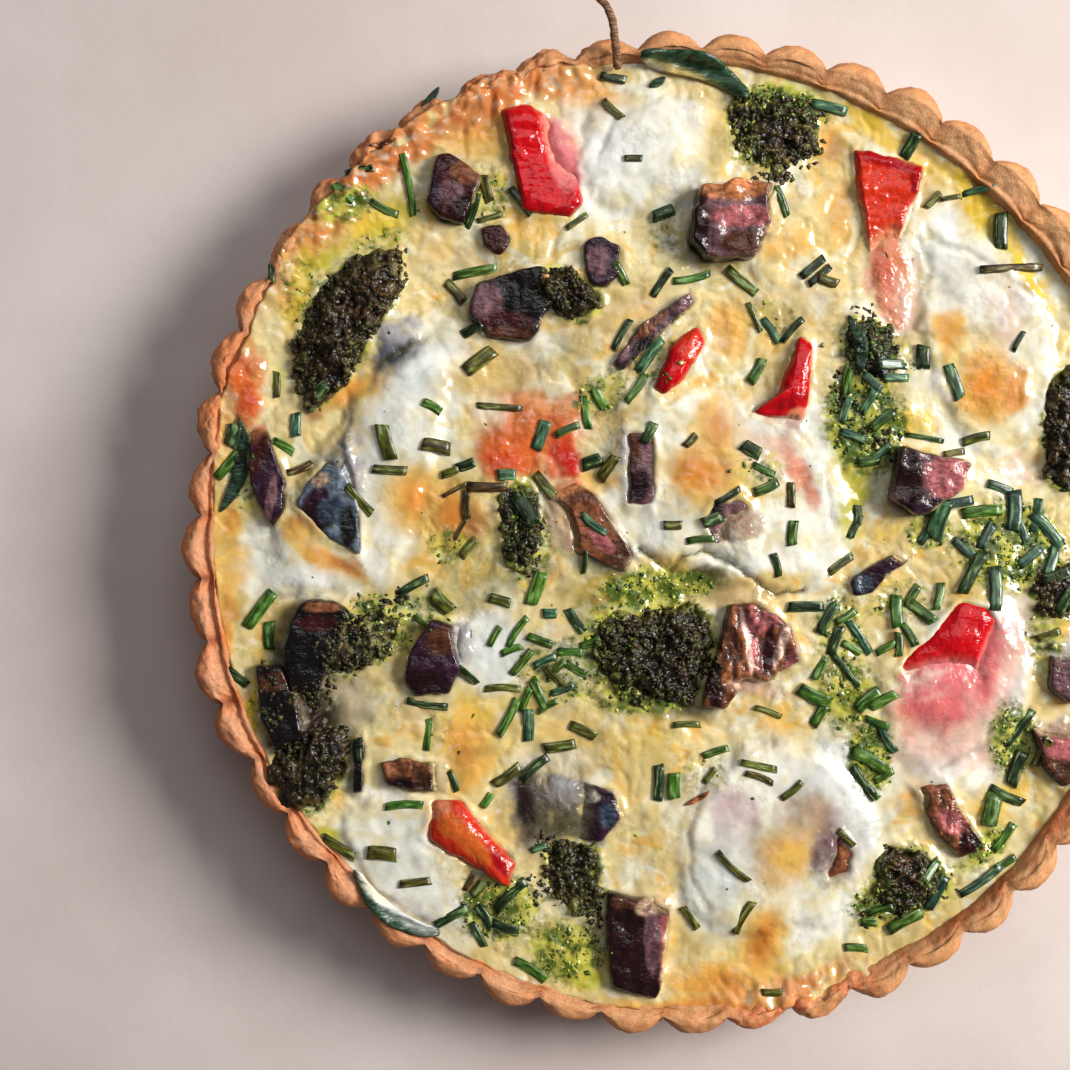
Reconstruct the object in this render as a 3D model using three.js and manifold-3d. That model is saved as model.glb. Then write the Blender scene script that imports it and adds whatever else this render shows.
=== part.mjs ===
// A pepper and feta quiche, whole and without its tin: a fluted pastry case, baked custard, melted
// cheese, chunks of roast aubergine and red pepper, spoonfuls of herb pesto, two leaves, a dried
// stalk, and cut chives that are part of whatever they lie on.
// Millimetres, +Z up. The origin is the middle of the flat base. +X is to the right of the top view.

import * as THREE from 'three';
import { mergeVertices } from 'three/addons/utils/BufferGeometryUtils.js';
import Module from 'manifold-3d';

const wasm = await Module();
wasm.setup();

// Driving dimensions of the pastry case
const RIM_RADIUS = 125;
const BASE_RADIUS = 118;
const RIM_HEIGHT = 28.6;
const RIM_TILT = 0.9;
const FLUTES = 48;
const FIRST_LOBE = 46.5;
const RIM_FLUTE_DEPTH = 4;
const BASE_FLUTE_DEPTH = 2.6;
const LOBE_SHARPNESS = 2.2;
const STEPS_PER_FLUTE = 4;
const PROFILE_POINTS = 7;
const FLOOR_THICKNESS = 3.5;
const RIM_WIDTH = 8;
const RIM_SHIFT = 1.2;
const WALL_LEAN = 3;
const SHOULDER_DROP = 4;
const EDGE_ROUND = [1.1, 1];
const CREST_INSET = 3;
const INNER_SLOPE = [2, 1.5];

// Waves of the rim's height: millimetres, waves round the rim, phase in degrees
const RIM_WAVES = [[0.35, 5, 0], [0.25, 13, 40]];

// Bulges of the case's outline: middle in degrees, half width in degrees, millimetres outwards
const BULGES = [[128, 20, 2], [172, 10, -1.8], [198, 9, 2.2]];

// Driving dimensions of the filling
const FILL_LEVEL = 24.4;
const FILL_SLOPE = 0.008;
const FILL_RINGS = 9;
const EDGE_UPTURN = 0.7;
const UPTURN_FROM = 104;
const UPTURN_TO = 116;
const LIP_DEPTH = 0.8;

// Low waves of the filling: millimetres, radians for each millimetre of x and of y, phase
const WAVES = [[0.5, 0.11, 0.07, 0], [0.45, -0.05, 0.09, 1.3], [0.35, 0.21, -0.17, 2]];

// Where the filling baked over the rim: middle in degrees, half width in degrees, millimetres
const OVERFLOWS = [[133, 24, 5], [284, 13, 3.5]];
const CLEARANCE = 0.3;
const LIP_CLEARANCE = 0.25;
const ABOVE_ALL = 60;

// The top view's scale and middle, as read from the picture
const PIXEL = 0.25;
const MIDDLE = [682, 534];

const degrees = THREE.MathUtils.degToRad;

function onPlan([across, down]) {
  return [(across - MIDDLE[0]) * PIXEL, (MIDDLE[1] - down) * PIXEL];
}

function bump(angle, middle, halfWidth) {
  const away = Math.abs(((angle - middle + 540) % 360) - 180) / halfWidth;
  return away < 1 ? 0.5 + 0.5 * Math.cos(Math.PI * away) : 0;
}

function polar(radius, angle, height) {
  const turn = degrees(angle);
  return [radius * Math.cos(turn), radius * Math.sin(turn), height];
}

// Heights and radii, all of them functions of the angle in degrees or of the place on the plan

function lobe(angle) {
  const turn = ((angle - FIRST_LOBE) * FLUTES) / 360 + 0.5;
  const across = 2 * (turn - Math.floor(turn)) - 1;
  return 1 - Math.abs(across) ** LOBE_SHARPNESS;
}

function bumps(list, angle) {
  return list.reduce((sum, [middle, halfWidth, out]) => sum + out * bump(angle, middle, halfWidth), 0);
}

function rimRadius(angle) {
  return RIM_RADIUS + bumps(BULGES, angle) - RIM_FLUTE_DEPTH * (1 - lobe(angle));
}

function baseRadius(angle) {
  return BASE_RADIUS - BASE_FLUTE_DEPTH * (1 - lobe(angle));
}

function rimHeight(angle) {
  const wave = RIM_WAVES.reduce((sum, [high, count, phase]) => (
    sum + high * Math.sin(degrees(count * angle + phase))
  ), 0);
  return RIM_HEIGHT + RIM_TILT * Math.cos(degrees(angle - 10)) + wave;
}

function fillRadius(angle) {
  return RIM_RADIUS - RIM_WIDTH - RIM_SHIFT * Math.cos(degrees(angle));
}

function lipRadius(angle) {
  return fillRadius(angle) - CLEARANCE + bumps(OVERFLOWS, angle);
}

function surface(x, y) {
  const waves = WAVES.reduce((sum, [high, alongX, alongY, phase]) => (
    sum + high * Math.sin(alongX * x + alongY * y + phase)
  ), 0);
  const edge = THREE.MathUtils.smoothstep(Math.hypot(x, y), UPTURN_FROM, UPTURN_TO);
  return FILL_LEVEL - FILL_SLOPE * x + waves * (1 - 0.7 * edge) + EDGE_UPTURN * edge;
}

// Closed meshes from rings of points, and solids from closed meshes

function closedMesh(points, faces) {
  const geometry = new THREE.BufferGeometry();
  geometry.setAttribute('position', new THREE.BufferAttribute(new Float32Array(points.flat()), 3));
  geometry.setIndex(faces.flat());
  return geometry;
}

function solidOf(geometry) {
  const bare = geometry.clone();
  bare.deleteAttribute('normal');
  bare.deleteAttribute('uv');
  const merged = mergeVertices(bare, 1e-4);
  return new wasm.Manifold(new wasm.Mesh({
    numProp: 3,
    vertProperties: new Float32Array(merged.attributes.position.array),
    triVerts: new Uint32Array(merged.index.array),
  }));
}

function geometryOf(solid) {
  const mesh = solid.getMesh();
  const geometry = new THREE.BufferGeometry();
  geometry.setAttribute('position', new THREE.BufferAttribute(mesh.vertProperties, 3));
  geometry.setIndex(new THREE.BufferAttribute(mesh.triVerts, 1));
  return geometry;
}

function stripFaces(lower, upper, count) {
  const faces = [];
  for (let i = 0; i < count; i += 1) {
    const next = (i + 1) % count;
    faces.push([lower + i, lower + next, upper + next], [lower + i, upper + next, upper + i]);
  }
  return faces;
}

// Rings run from the bottom up, each counterclockwise from above
function stack(rings) {
  const count = rings[0].length;
  const faces = [];
  for (let level = 0; level + 1 < rings.length; level += 1) {
    faces.push(...stripFaces(level * count, (level + 1) * count, count));
  }
  const flat = (ring) => ring.map(([x, y]) => new THREE.Vector2(x, y));
  const last = (rings.length - 1) * count;
  THREE.ShapeUtils.triangulateShape(flat(rings[0]), []).forEach(([a, b, c]) => faces.push([a, c, b]));
  THREE.ShapeUtils.triangulateShape(flat(rings.at(-1)), []).forEach(([a, b, c]) => {
    faces.push([last + a, last + b, last + c]);
  });
  return solidOf(closedMesh(rings.flat(), faces));
}

// The pastry case: rings from the middle of the floor, down the inside of the wall in reverse,
// over the rim and down the fluted outside

function crustSolid() {
  const count = FLUTES * STEPS_PER_FLUTE;
  const profile = (angle) => {
    const height = rimHeight(angle);
    const rim = rimRadius(angle);
    const base = baseRadius(angle);
    const inner = fillRadius(angle);
    const soft = 0.5 * lobe(angle);
    return [
      [base, 0],
      [rim, height - SHOULDER_DROP],
      [rim - EDGE_ROUND[0], height - EDGE_ROUND[1]],
      [rim - CREST_INSET, height],
      [inner + INNER_SLOPE[0] + soft, height - INNER_SLOPE[1]],
      [inner + 0.4, FILL_LEVEL - 1],
      [inner - WALL_LEAN, FLOOR_THICKNESS],
    ];
  };
  const rings = Array.from({ length: PROFILE_POINTS }, () => []);
  for (let i = 0; i < count; i += 1) {
    const angle = (360 * i) / count + FIRST_LOBE - 180 / FLUTES;
    profile(angle).forEach(([radius, height], level) => rings[level].push(polar(radius, angle, height)));
  }
  const points = rings.flat();
  const faces = [];
  for (let level = 0; level < PROFILE_POINTS - 1; level += 1) {
    faces.push(...stripFaces(level * count, (level + 1) * count, count));
  }
  const last = (PROFILE_POINTS - 1) * count;
  const underside = points.push([0, 0, 0]) - 1;
  const floor = points.push([0, 0, FLOOR_THICKNESS]) - 1;
  for (let i = 0; i < count; i += 1) {
    const next = (i + 1) % count;
    faces.push([underside, next, i], [floor, last + i, last + next]);
  }
  return solidOf(closedMesh(points, faces));
}

// The filling's top: ring k has 6k points, so that all its triangles are about as large

function fillingSolid(grow = 0) {
  const points = [[0, 0, surface(0, 0) + (grow ? ABOVE_ALL : 0)]];
  const faces = [];
  const start = (ring) => (ring === 0 ? 0 : 1 + 3 * ring * (ring - 1));
  for (let ring = 1; ring <= FILL_RINGS; ring += 1) {
    for (let i = 0; i < 6 * ring; i += 1) {
      const angle = (60 * i) / ring;
      const reach = (lipRadius(angle) + grow) * (ring / FILL_RINGS);
      const [x, y] = polar(reach, angle, 0);
      points.push([x, y, surface(x, y) + (grow ? ABOVE_ALL : 0)]);
    }
    for (let i = 0; i < 6 * ring; i += 1) {
      const sector = Math.floor(i / ring);
      const within = i % ring;
      const inner = (step) => (
        ring === 1 ? 0 : start(ring - 1) + ((sector * (ring - 1) + step) % (6 * (ring - 1)))
      );
      const outer = start(ring) + i;
      const outerNext = start(ring) + ((i + 1) % (6 * ring));
      faces.push([inner(within), outer, outerNext]);
      if (within < ring - 1) faces.push([inner(within), outerNext, inner(within + 1)]);
    }
  }
  const count = 6 * FILL_RINGS;
  const levels = [
    (angle) => {
      const [x, y] = polar(lipRadius(angle), angle, 0);
      return [lipRadius(angle) + grow, surface(x, y) - LIP_DEPTH - grow];
    },
    (angle) => [fillRadius(angle) - CLEARANCE + grow, FILL_LEVEL - 1.5 - grow],
    (angle) => [fillRadius(angle) - WALL_LEAN - CLEARANCE + grow, FLOOR_THICKNESS + CLEARANCE - grow],
  ];
  let above = start(FILL_RINGS);
  levels.forEach((level) => {
    const here = points.length;
    for (let i = 0; i < count; i += 1) {
      const angle = (360 * i) / count;
      points.push(polar(level(angle)[0], angle, level(angle)[1]));
    }
    faces.push(...stripFaces(here, above, count));
    above = here;
  });
  const bottom = points.push([0, 0, FLOOR_THICKNESS + CLEARANCE - grow]) - 1;
  for (let i = 0; i < count; i += 1) faces.push([bottom, above + ((i + 1) % count), above + i]);
  return solidOf(closedMesh(points, faces));
}

// Outlines of chunks and spoonfuls

function counterclockwise(corners) {
  const plan = corners.map(onPlan);
  return THREE.ShapeUtils.isClockWise(plan.map(([x, y]) => new THREE.Vector2(x, y))) ? plan.reverse() : plan;
}

// The corners themselves, or a smooth closed line through them where steps are given
function edgeOf(corners, steps) {
  const plan = counterclockwise(corners);
  if (!steps) return plan;
  const curve = new THREE.CatmullRomCurve3(plan.map(([x, y]) => new THREE.Vector3(x, y, 0)), true);
  return curve.getPoints(steps).slice(0, steps).map(({ x, y }) => [x, y]);
}

function grown(ring, distance) {
  return ring.map(([x, y], i) => {
    const [bx, by] = ring.at(i - 1);
    const [ax, ay] = ring[(i + 1) % ring.length];
    const along = Math.hypot(ax - bx, ay - by) || 1;
    return [x + (distance * (ay - by)) / along, y - (distance * (ax - bx)) / along];
  });
}

function middleOf(ring) {
  const sum = ring.reduce(([sx, sy], [x, y]) => [sx + x, sy + y], [0, 0]);
  return [sum[0] / ring.length, sum[1] / ring.length];
}

// A piece's flat underside, a little below the lowest of the filling round it
function footLevel(ring, sink) {
  return Math.min(...ring.map(([x, y]) => surface(x, y))) - sink;
}

function drawn(ring, share, height) {
  const [mx, my] = middleOf(ring);
  return ring.map(([x, y], i) => {
    const px = mx + share * (x - mx);
    const py = my + share * (y - my);
    return [px, py, height(px, py, i)];
  });
}

// A piece's rings from the foot up: share of its outline's size, share of its rise, unevenness
const CHUNK = { foot: 0.9, bevelFrom: 0.55, top: 0.84, below: 0.4 };
const SOFT = { foot: 0.95, rings: [[1, 0.15], [0.88, 0.75], [0.5, 1.1]] };
const HEAP = { foot: 0.94, rings: [[1, 0.35, 0.1], [0.78, 0.85, 0.15], [0.4, 1, 0.15]] };
const LEAN_WIDTH = 10;

// A cut chunk: straight sides, bevelled top that leans by `lean` millimetres in each 10 across
function chunk({ corners, rise, lean = 0 }, sink) {
  const ring = counterclockwise(corners);
  const [mx, my] = middleOf(ring);
  const level = surface(mx, my);
  return stack([
    drawn(ring, CHUNK.foot, () => footLevel(ring, sink)),
    drawn(ring, 1, () => level - CHUNK.below),
    drawn(ring, 1, () => level + CHUNK.bevelFrom * rise),
    drawn(ring, CHUNK.top, (x) => level + rise + (lean * (x - mx)) / LEAN_WIDTH),
  ]);
}

// A soft piece that follows the filling: pepper and melted cheese
function softPiece({ corners, rise, steps }, sink) {
  const ring = edgeOf(corners, steps);
  return stack([
    drawn(ring, SOFT.foot, () => footLevel(ring, sink)),
    ...SOFT.rings.map(([share, up]) => drawn(ring, share, (x, y) => surface(x, y) + up * rise)),
  ]);
}

// A spoonful of pesto: a heap of crumbs, each point a little higher or lower by a fixed rule
function heap({ corners, rise, steps }, sink, seed) {
  const ring = edgeOf(corners, steps);
  const crumb = (i, level) => Math.sin(12.9898 * ((2 * level + 1) * i + level + 1) + 4.1 * seed);
  return stack([
    drawn(ring, HEAP.foot, () => footLevel(ring, sink)),
    ...HEAP.rings.map(([share, up, uneven], level) => (
      drawn(ring, share, (x, y, i) => surface(x, y) + (up + uneven * crumb(i, level)) * rise)
    )),
  ]);
}

// The pocket that a piece needs in what it is set into, open at the top
function pocket({ corners, steps }, sink) {
  const ring = edgeOf(corners, steps);
  const foot = footLevel(ring, sink) - CLEARANCE;
  return stack([foot, ABOVE_ALL].map((level) => drawn(grown(ring, CLEARANCE), 1, () => level)));
}

// Where each piece lies: corners in the picture's own coordinates, rise above the filling in mm

const PESTO = [
  { corners: [[345, 262], [390, 250], [404, 275], [370, 340], [335, 398], [305, 408], [293, 360],
    [312, 300]], rise: 3.5 },
  { corners: [[345, 622], [375, 610], [400, 622], [392, 648], [352, 676], [322, 665], [318, 640]], rise: 3 },
  { corners: [[275, 748], [300, 735], [345, 730], [350, 760], [318, 808], [290, 808],
    [270, 785]], rise: 3.5 },
  { corners: [[738, 100], [775, 92], [812, 105], [818, 140], [780, 172], [745, 158], [728, 130]], rise: 3 },
  { corners: [[850, 318], [880, 322], [898, 350], [890, 380], [862, 378], [845, 350]], rise: 2.5 },
  { corners: [[600, 625], [650, 610], [700, 606], [712, 635], [690, 700], [650, 695], [595, 672]], rise: 3 },
  { corners: [[548, 842], [575, 840], [598, 855], [598, 890], [586, 918], [548, 885]], rise: 2.5 },
  { corners: [[880, 850], [905, 845], [935, 858], [940, 885], [895, 922], [877, 890]], rise: 3 },
  { corners: [[1052, 375], [1080, 370], [1092, 410], [1078, 490], [1055, 488], [1046, 430]], rise: 3 },
  { corners: [[1035, 575], [1060, 562], [1095, 568], [1098, 600], [1075, 618], [1042, 610]], rise: 2.5 },
  { corners: [[535, 276], [560, 268], [590, 285], [600, 305], [580, 320], [545, 305]], rise: 4.6 },
  { corners: [[502, 490], [520, 480], [538, 500], [536, 545], [525, 570], [506, 550]], rise: 2 },
];

const PEPPERS = [
  { corners: [[500, 108], [530, 107], [575, 138], [578, 180], [583, 205], [570, 219],
    [522, 213]], rise: 2.4 },
  { corners: [[853, 150], [924, 167], [915, 200], [922, 245], [903, 330], [882, 315],
    [858, 205]], rise: 2.4 },
  { corners: [[698, 324], [706, 343], [690, 372], [662, 398], [652, 390], [672, 342]], rise: 2.6 },
  { corners: [[800, 335], [812, 345], [808, 400], [800, 427], [752, 413], [778, 395]], rise: 2.6 },
  { corners: [[548, 408], [580, 404], [583, 440], [576, 475], [500, 474], [482, 455],
    [492, 425]], rise: 1.6 },
  { corners: [[897, 667], [960, 598], [985, 606], [1016, 650], [990, 705], [945, 730],
    [912, 705]], rise: 2.8 },
  { corners: [[432, 800], [460, 798], [495, 838], [516, 862], [508, 884], [462, 858], [428, 838]], rise: 3 },
  { corners: [[968, 358], [1000, 354], [1022, 372], [1022, 405], [995, 416], [963, 405]], rise: 1.8 },
  { corners: [[1108, 446], [1130, 452], [1136, 490], [1122, 528], [1108, 505]], rise: 2.2 },
  { corners: [[225, 357], [262, 365], [262, 400], [256, 430], [240, 430], [238, 395], [228, 380]], rise: 3 },
];

const AUBERGINES = [
  { corners: [[438, 158], [450, 157], [486, 178], [465, 226], [440, 222], [427, 205]], rise: 4, lean: 0.4 },
  { corners: [[480, 228], [500, 222], [512, 240], [500, 256], [484, 246]], rise: 1.6 },
  { corners: [[476, 285], [500, 275], [545, 268], [560, 290], [530, 343], [490, 340], [470, 320]], rise: 3 },
  { corners: [[582, 245], [600, 238], [622, 246], [620, 275], [605, 290], [588, 282]], rise: 2 },
  { corners: [[697, 190], [742, 184], [775, 188], [776, 218], [752, 262], [702, 262], [686, 245]], rise: 7 },
  { corners: [[690, 292], [696, 302], [655, 338], [622, 371], [613, 364], [640, 326]], rise: 2.4 },
  { corners: [[624, 432], [652, 430], [657, 470], [652, 508], [626, 506], [620, 470]], rise: 2 },
  { corners: [[712, 500], [740, 497], [760, 520], [750, 555], [712, 545], [700, 520]], rise: 2 },
  { corners: [[577, 482], [595, 495], [636, 556], [626, 573], [560, 548], [543, 520],
    [550, 495]], rise: 2.6 },
  { corners: [[350, 433], [360, 480], [362, 555], [325, 535], [296, 505],
    [320, 470]], rise: 2.8, lean: -0.6 },
  { corners: [[376, 330], [410, 318], [426, 340], [400, 362], [380, 374]], rise: 2.2 },
  { corners: [[254, 425], [268, 430], [287, 480], [286, 510], [275, 527], [258, 500],
    [250, 460]], rise: 2.6 },
  { corners: [[432, 618], [472, 630], [468, 655], [450, 692], [418, 696], [404, 680],
    [410, 652]], rise: 3.6 },
  { corners: [[383, 762], [400, 756], [442, 765], [444, 790], [415, 791], [385, 782]], rise: 2.6 },
  { corners: [[300, 602], [330, 598], [353, 612], [340, 650], [318, 692], [292, 690], [286, 650]], rise: 4 },
  { corners: [[258, 664], [284, 662], [300, 697], [304, 735], [278, 748], [262, 715]], rise: 3.4 },
  { corners: [[354, 738], [365, 736], [363, 790], [354, 794]], rise: 2 },
  { corners: [[520, 785], [545, 775], [590, 785], [614, 790], [624, 815], [600, 842],
    [530, 828]], rise: 2.6 },
  { corners: [[608, 890], [655, 898], [669, 906], [664, 960], [655, 998], [612, 986], [605, 940]], rise: 5 },
  { corners: [[728, 604], [755, 600], [790, 625], [799, 660], [760, 684], [738, 690], [722, 708],
    [700, 703]], rise: 4.6 },
  { corners: [[895, 446], [925, 452], [967, 463], [960, 490], [915, 517],
    [888, 500]], rise: 5.4, lean: -0.5 },
  { corners: [[850, 582], [870, 566], [900, 550], [916, 556], [886, 576], [872, 594],
    [855, 596]], rise: 1.8 },
  { corners: [[912, 788], [945, 782], [958, 806], [985, 848], [960, 858], [930, 822]], rise: 2.4 },
  { corners: [[820, 838], [840, 832], [856, 855], [850, 874], [828, 882], [815, 862]], rise: 2.4 },
  { corners: [[1050, 640], [1075, 635], [1098, 650], [1094, 690], [1070, 702], [1046, 690]], rise: 3.4 },
  { corners: [[1032, 728], [1065, 722], [1088, 740], [1082, 775], [1062, 788], [1040, 765]], rise: 3 },
];

const CHEESES = [
  { corners: [[600, 95], [700, 98], [736, 128], [728, 175], [650, 216], [588, 200], [580, 130]], rise: 1.9 },
  { corners: [[425, 340], [452, 380], [420, 500], [390, 575], [300, 594], [270, 545],
    [330, 430]], rise: 1.7 },
  { corners: [[935, 225], [1020, 255], [1062, 370], [1040, 445], [985, 455], [935, 385],
    [918, 280]], rise: 1.8 },
  { corners: [[745, 745], [830, 752], [882, 830], [868, 895], [770, 936], [692, 920],
    [684, 820]], rise: 2.4 },
  { corners: [[895, 605], [1000, 596], [1032, 660], [1015, 750], [945, 790], [884, 740]], rise: 1.7 },
  { corners: [[350, 800], [430, 794], [470, 870], [445, 922], [385, 898], [344, 840]], rise: 1.7 },
  { corners: [[610, 400], [700, 388], [800, 425], [850, 490], [835, 582], [720, 580],
    [605, 530]], rise: 1.7 },
];

// How deep each kind is set into the filling, and how finely its outline is rounded
const KINDS = {
  pesto: { pieces: PESTO, sink: 1.2, steps: 10, build: heap },
  pepper: { pieces: PEPPERS, sink: 2, build: softPiece },
  aubergine: { pieces: AUBERGINES, sink: 4, build: chunk },
  cheese: { pieces: CHEESES, sink: 0.6, steps: 14, build: softPiece },
};

const CHIVE_HEIGHT = 1.3;
const CHIVE_SUNK = 0.8;
const CHIVE_TOP = 0.75;
const CHIVE_ENDS = 0.45;
const SHORTENED = 0.65;

// Chives that show from a step away: across, down, turn in degrees, length and width, in picture units
const CHIVES = [
  [360, 173, 6, 30, 9], [345, 195, -40, 25, 10], [385, 208, -25, 30, 9], [408, 186, 100, 60, 8],
  [273, 275, 90, 18, 9], [613, 79, -10, 26, 10], [613, 110, -42, 26, 9], [521, 202, -53, 34, 9],
  [487, 190, -75, 26, 12], [475, 272, 10, 45, 11], [455, 292, -50, 27, 12], [480, 361, 38, 35, 17],
  [829, 108, -12, 37, 12], [780, 203, -67, 32, 9], [813, 267, 40, 30, 20], [663, 213, 20, 22, 14],
  [909, 147, 62, 26, 14], [933, 200, 45, 20, 8], [957, 195, 8, 40, 8], [1001, 231, 90, 36, 16],
  [1010, 269, 3, 64, 10], [318, 398, 52, 32, 14], [277, 385, 90, 26, 8], [235, 440, 75, 34, 14],
  [297, 425, 90, 24, 12], [388, 443, -75, 36, 17], [391, 470, -3, 34, 11], [361, 500, -48, 36, 11],
  [433, 408, -30, 20, 11], [437, 447, -10, 28, 16], [541, 435, 70, 30, 14], [586, 412, -80, 34, 10],
  [600, 398, -60, 22, 12], [636, 388, 55, 34, 10], [650, 355, 55, 40, 13], [662, 283, 55, 32, 9],
  [742, 281, -40, 38, 12], [772, 330, -55, 30, 9], [793, 330, 48, 31, 8], [757, 370, 62, 27, 12],
  [750, 450, -30, 20, 16], [765, 487, 25, 26, 12], [726, 496, 30, 28, 8], [790, 495, 90, 25, 10],
  [848, 380, 85, 30, 12], [918, 357, 90, 24, 20], [953, 382, -70, 36, 13], [976, 439, 15, 27, 11],
  [450, 472, 20, 20, 11], [487, 486, 0, 40, 12], [525, 510, -60, 35, 18], [592, 470, 20, 30, 20],
  [469, 548, 50, 24, 10], [414, 586, 30, 34, 10], [442, 602, -45, 26, 18], [536, 588, 70, 34, 16],
  [576, 620, -55, 28, 11], [518, 632, 57, 36, 8], [525, 660, 50, 32, 9], [545, 661, 25, 25, 9],
  [570, 652, 0, 26, 10], [556, 677, -45, 30, 10], [539, 693, -65, 32, 11], [503, 689, 0, 36, 9],
  [468, 675, -45, 26, 9], [428, 703, -10, 41, 9], [508, 717, 62, 41, 10], [528, 725, 90, 32, 13],
  [583, 731, -25, 28, 12], [560, 746, 8, 32, 13], [507, 775, 35, 32, 12], [535, 769, 42, 36, 11],
  [453, 781, -70, 22, 8], [405, 805, 3, 38, 10], [261, 609, 53, 44, 14], [270, 635, 90, 28, 13],
  [239, 677, -40, 24, 11], [690, 541, 5, 28, 9], [792, 533, 85, 25, 12], [775, 565, -75, 24, 9],
  [842, 564, 35, 30, 10], [806, 607, 0, 36, 13], [828, 618, 60, 34, 12], [836, 640, 70, 30, 12],
  [859, 637, -55, 40, 10], [845, 670, -52, 42, 7], [814, 695, -25, 34, 16], [868, 700, 40, 30, 14],
  [898, 611, 90, 32, 14], [921, 612, -40, 30, 14], [939, 596, 75, 28, 10], [973, 572, 62, 48, 14],
  [993, 588, 88, 44, 15], [939, 520, 75, 38, 20], [983, 512, 5, 40, 14], [1015, 510, 88, 40, 18],
  [1048, 530, -50, 44, 14], [1020, 728, 52, 45, 10], [1019, 769, 70, 36, 16], [1008, 796, -25, 36, 12],
  [993, 811, 75, 30, 20], [1004, 837, 50, 34, 10], [980, 879, 35, 51, 10], [936, 892, 62, 38, 12],
  [905, 921, 30, 38, 14], [856, 948, -5, 23, 10], [658, 782, 88, 36, 12], [674, 785, 90, 26, 15],
  [716, 752, 18, 27, 9], [758, 767, -14, 37, 14], [887, 738, -60, 32, 10], [869, 761, -30, 40, 16],
  [864, 782, -55, 40, 12], [732, 864, -43, 42, 8], [743, 916, 62, 37, 10], [690, 918, -55, 26, 10],
  [340, 846, -32, 37, 12], [383, 852, -5, 29, 17], [416, 880, 6, 31, 10], [452, 915, 28, 36, 11],
  [511, 894, 45, 43, 12], [485, 916, -60, 28, 11], [508, 926, -18, 27, 12], [478, 933, -62, 28, 9],
  [530, 969, -32, 36, 12], [1108, 620, 40, 32, 12], [1124, 580, -60, 34, 10], [1110, 385, 75, 30, 12],
  [1102, 720, 30, 34, 11],
];

// Materials
const COLOURS = {
  crust: [0xd39a62, 0.7],
  custard: [0xead792, 0.45],
  pesto: [0x2c2e14, 0.6],
  pepper: [0xc4281c, 0.3],
  aubergine: [0x4a2a2c, 0.4],
  cheese: [0xf0ead0, 0.35],
  leaf: [0x24382a, 0.4],
  stalk: [0x6b4526, 0.7],
};

function material(kind) {
  const [color, roughness] = COLOURS[kind];
  return new THREE.MeshStandardMaterial({ color, roughness, metalness: 0 });
}

// Pieces, from the topmost kind down: each is cut by the pockets of those before it

const nodes = [];
const pockets = [];

function overlaps(solid, other) {
  const a = solid.boundingBox();
  const b = other.boundingBox();
  return [0, 1, 2].every((axis) => a.min[axis] <= b.max[axis] && b.min[axis] <= a.max[axis]);
}

function cutBy(solid, cutters) {
  const near = cutters.filter((cutter) => overlaps(solid, cutter));
  return near.reduce((left, cutter) => left.subtract(cutter), solid);
}

Object.entries(KINDS).forEach(([kind, { pieces, sink, steps, build }]) => {
  pieces.forEach((piece, i) => {
    const shaped = { steps, ...piece };
    const solid = cutBy(build(shaped, sink, i), pockets);
    nodes.push({ name: `${kind}_${String(i + 1).padStart(2, '0')}`, kind, solid });
    pockets.push(pocket(shaped, sink));
  });
});

const bed = fillingSolid(LIP_CLEARANCE);
nodes.push({ name: 'custard', kind: 'custard', solid: cutBy(fillingSolid(), pockets) });
nodes.push({ name: 'crust', kind: 'crust', solid: cutBy(crustSolid(), [bed, ...pockets]) });

// Chives: each is joined to the piece under its middle, where it clears the others

const down = new THREE.Vector3(0, 0, -1);

function shownMesh(node) {
  return new THREE.Mesh(geometryOf(node.solid), new THREE.MeshBasicMaterial({ side: THREE.DoubleSide }));
}

const shown = nodes.map(shownMesh);

function topmost(x, y) {
  const ray = new THREE.Raycaster(new THREE.Vector3(x, y, ABOVE_ALL), down);
  const [hit] = ray.intersectObjects(shown);
  return hit ? { node: nodes[shown.indexOf(hit.object)], z: hit.point.z } : null;
}

function chiveSolid(middle, direction, ends, half, length, swell) {
  const side = half + swell;
  const section = [
    [-side, -CHIVE_SUNK - swell], [side, -CHIVE_SUNK - swell],
    [CHIVE_TOP * side, CHIVE_HEIGHT + swell], [-CHIVE_TOP * side, CHIVE_HEIGHT + swell],
  ];
  const count = section.length;
  const ring = (along, z) => section.map(([across, up]) => [
    middle[0] + along * direction[0] - across * direction[1],
    middle[1] + along * direction[1] + across * direction[0],
    z + up,
  ]);
  const reach = length / 2 + swell;
  const points = [...ring(-reach, ends[0]), ...ring(reach, ends[1])];
  const faces = stripFaces(0, count, count);
  for (let i = 1; i < count - 1; i += 1) faces.push([0, i + 1, i], [count, count + i, count + i + 1]);
  return solidOf(closedMesh(points, faces));
}

function layChive([across, below, turn, longPixels, widePixels], share = 1) {
  const middle = onPlan([across, below]);
  const length = longPixels * PIXEL * share;
  const half = (widePixels * PIXEL) / 2;
  const direction = [Math.cos(degrees(turn)), Math.sin(degrees(turn))];
  const under = [0, -CHIVE_ENDS, CHIVE_ENDS].map((part) => topmost(
    middle[0] + part * length * direction[0],
    middle[1] + part * length * direction[1],
  ));
  const carrier = under[0]?.node;
  const alone = carrier && under.every((hit) => hit && hit.node === carrier);
  if (alone) {
    const ends = [under[1].z, under[2].z];
    const swollen = chiveSolid(middle, direction, ends, half, length, CLEARANCE);
    const clear = nodes.every((node) => node === carrier || !overlaps(node.solid, swollen)
      || node.solid.intersect(swollen).volume() < 1e-6);
    if (clear) {
      carrier.solid = carrier.solid.add(chiveSolid(middle, direction, ends, half, length, 0));
      return;
    }
  }
  if (share === 1) layChive([across, below, turn, longPixels, widePixels], SHORTENED);
}

CHIVES.forEach((chive) => layChive(chive));

// A leaf: a thin wavy strip with both faces split alike, lying just clear of what is under it

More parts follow.
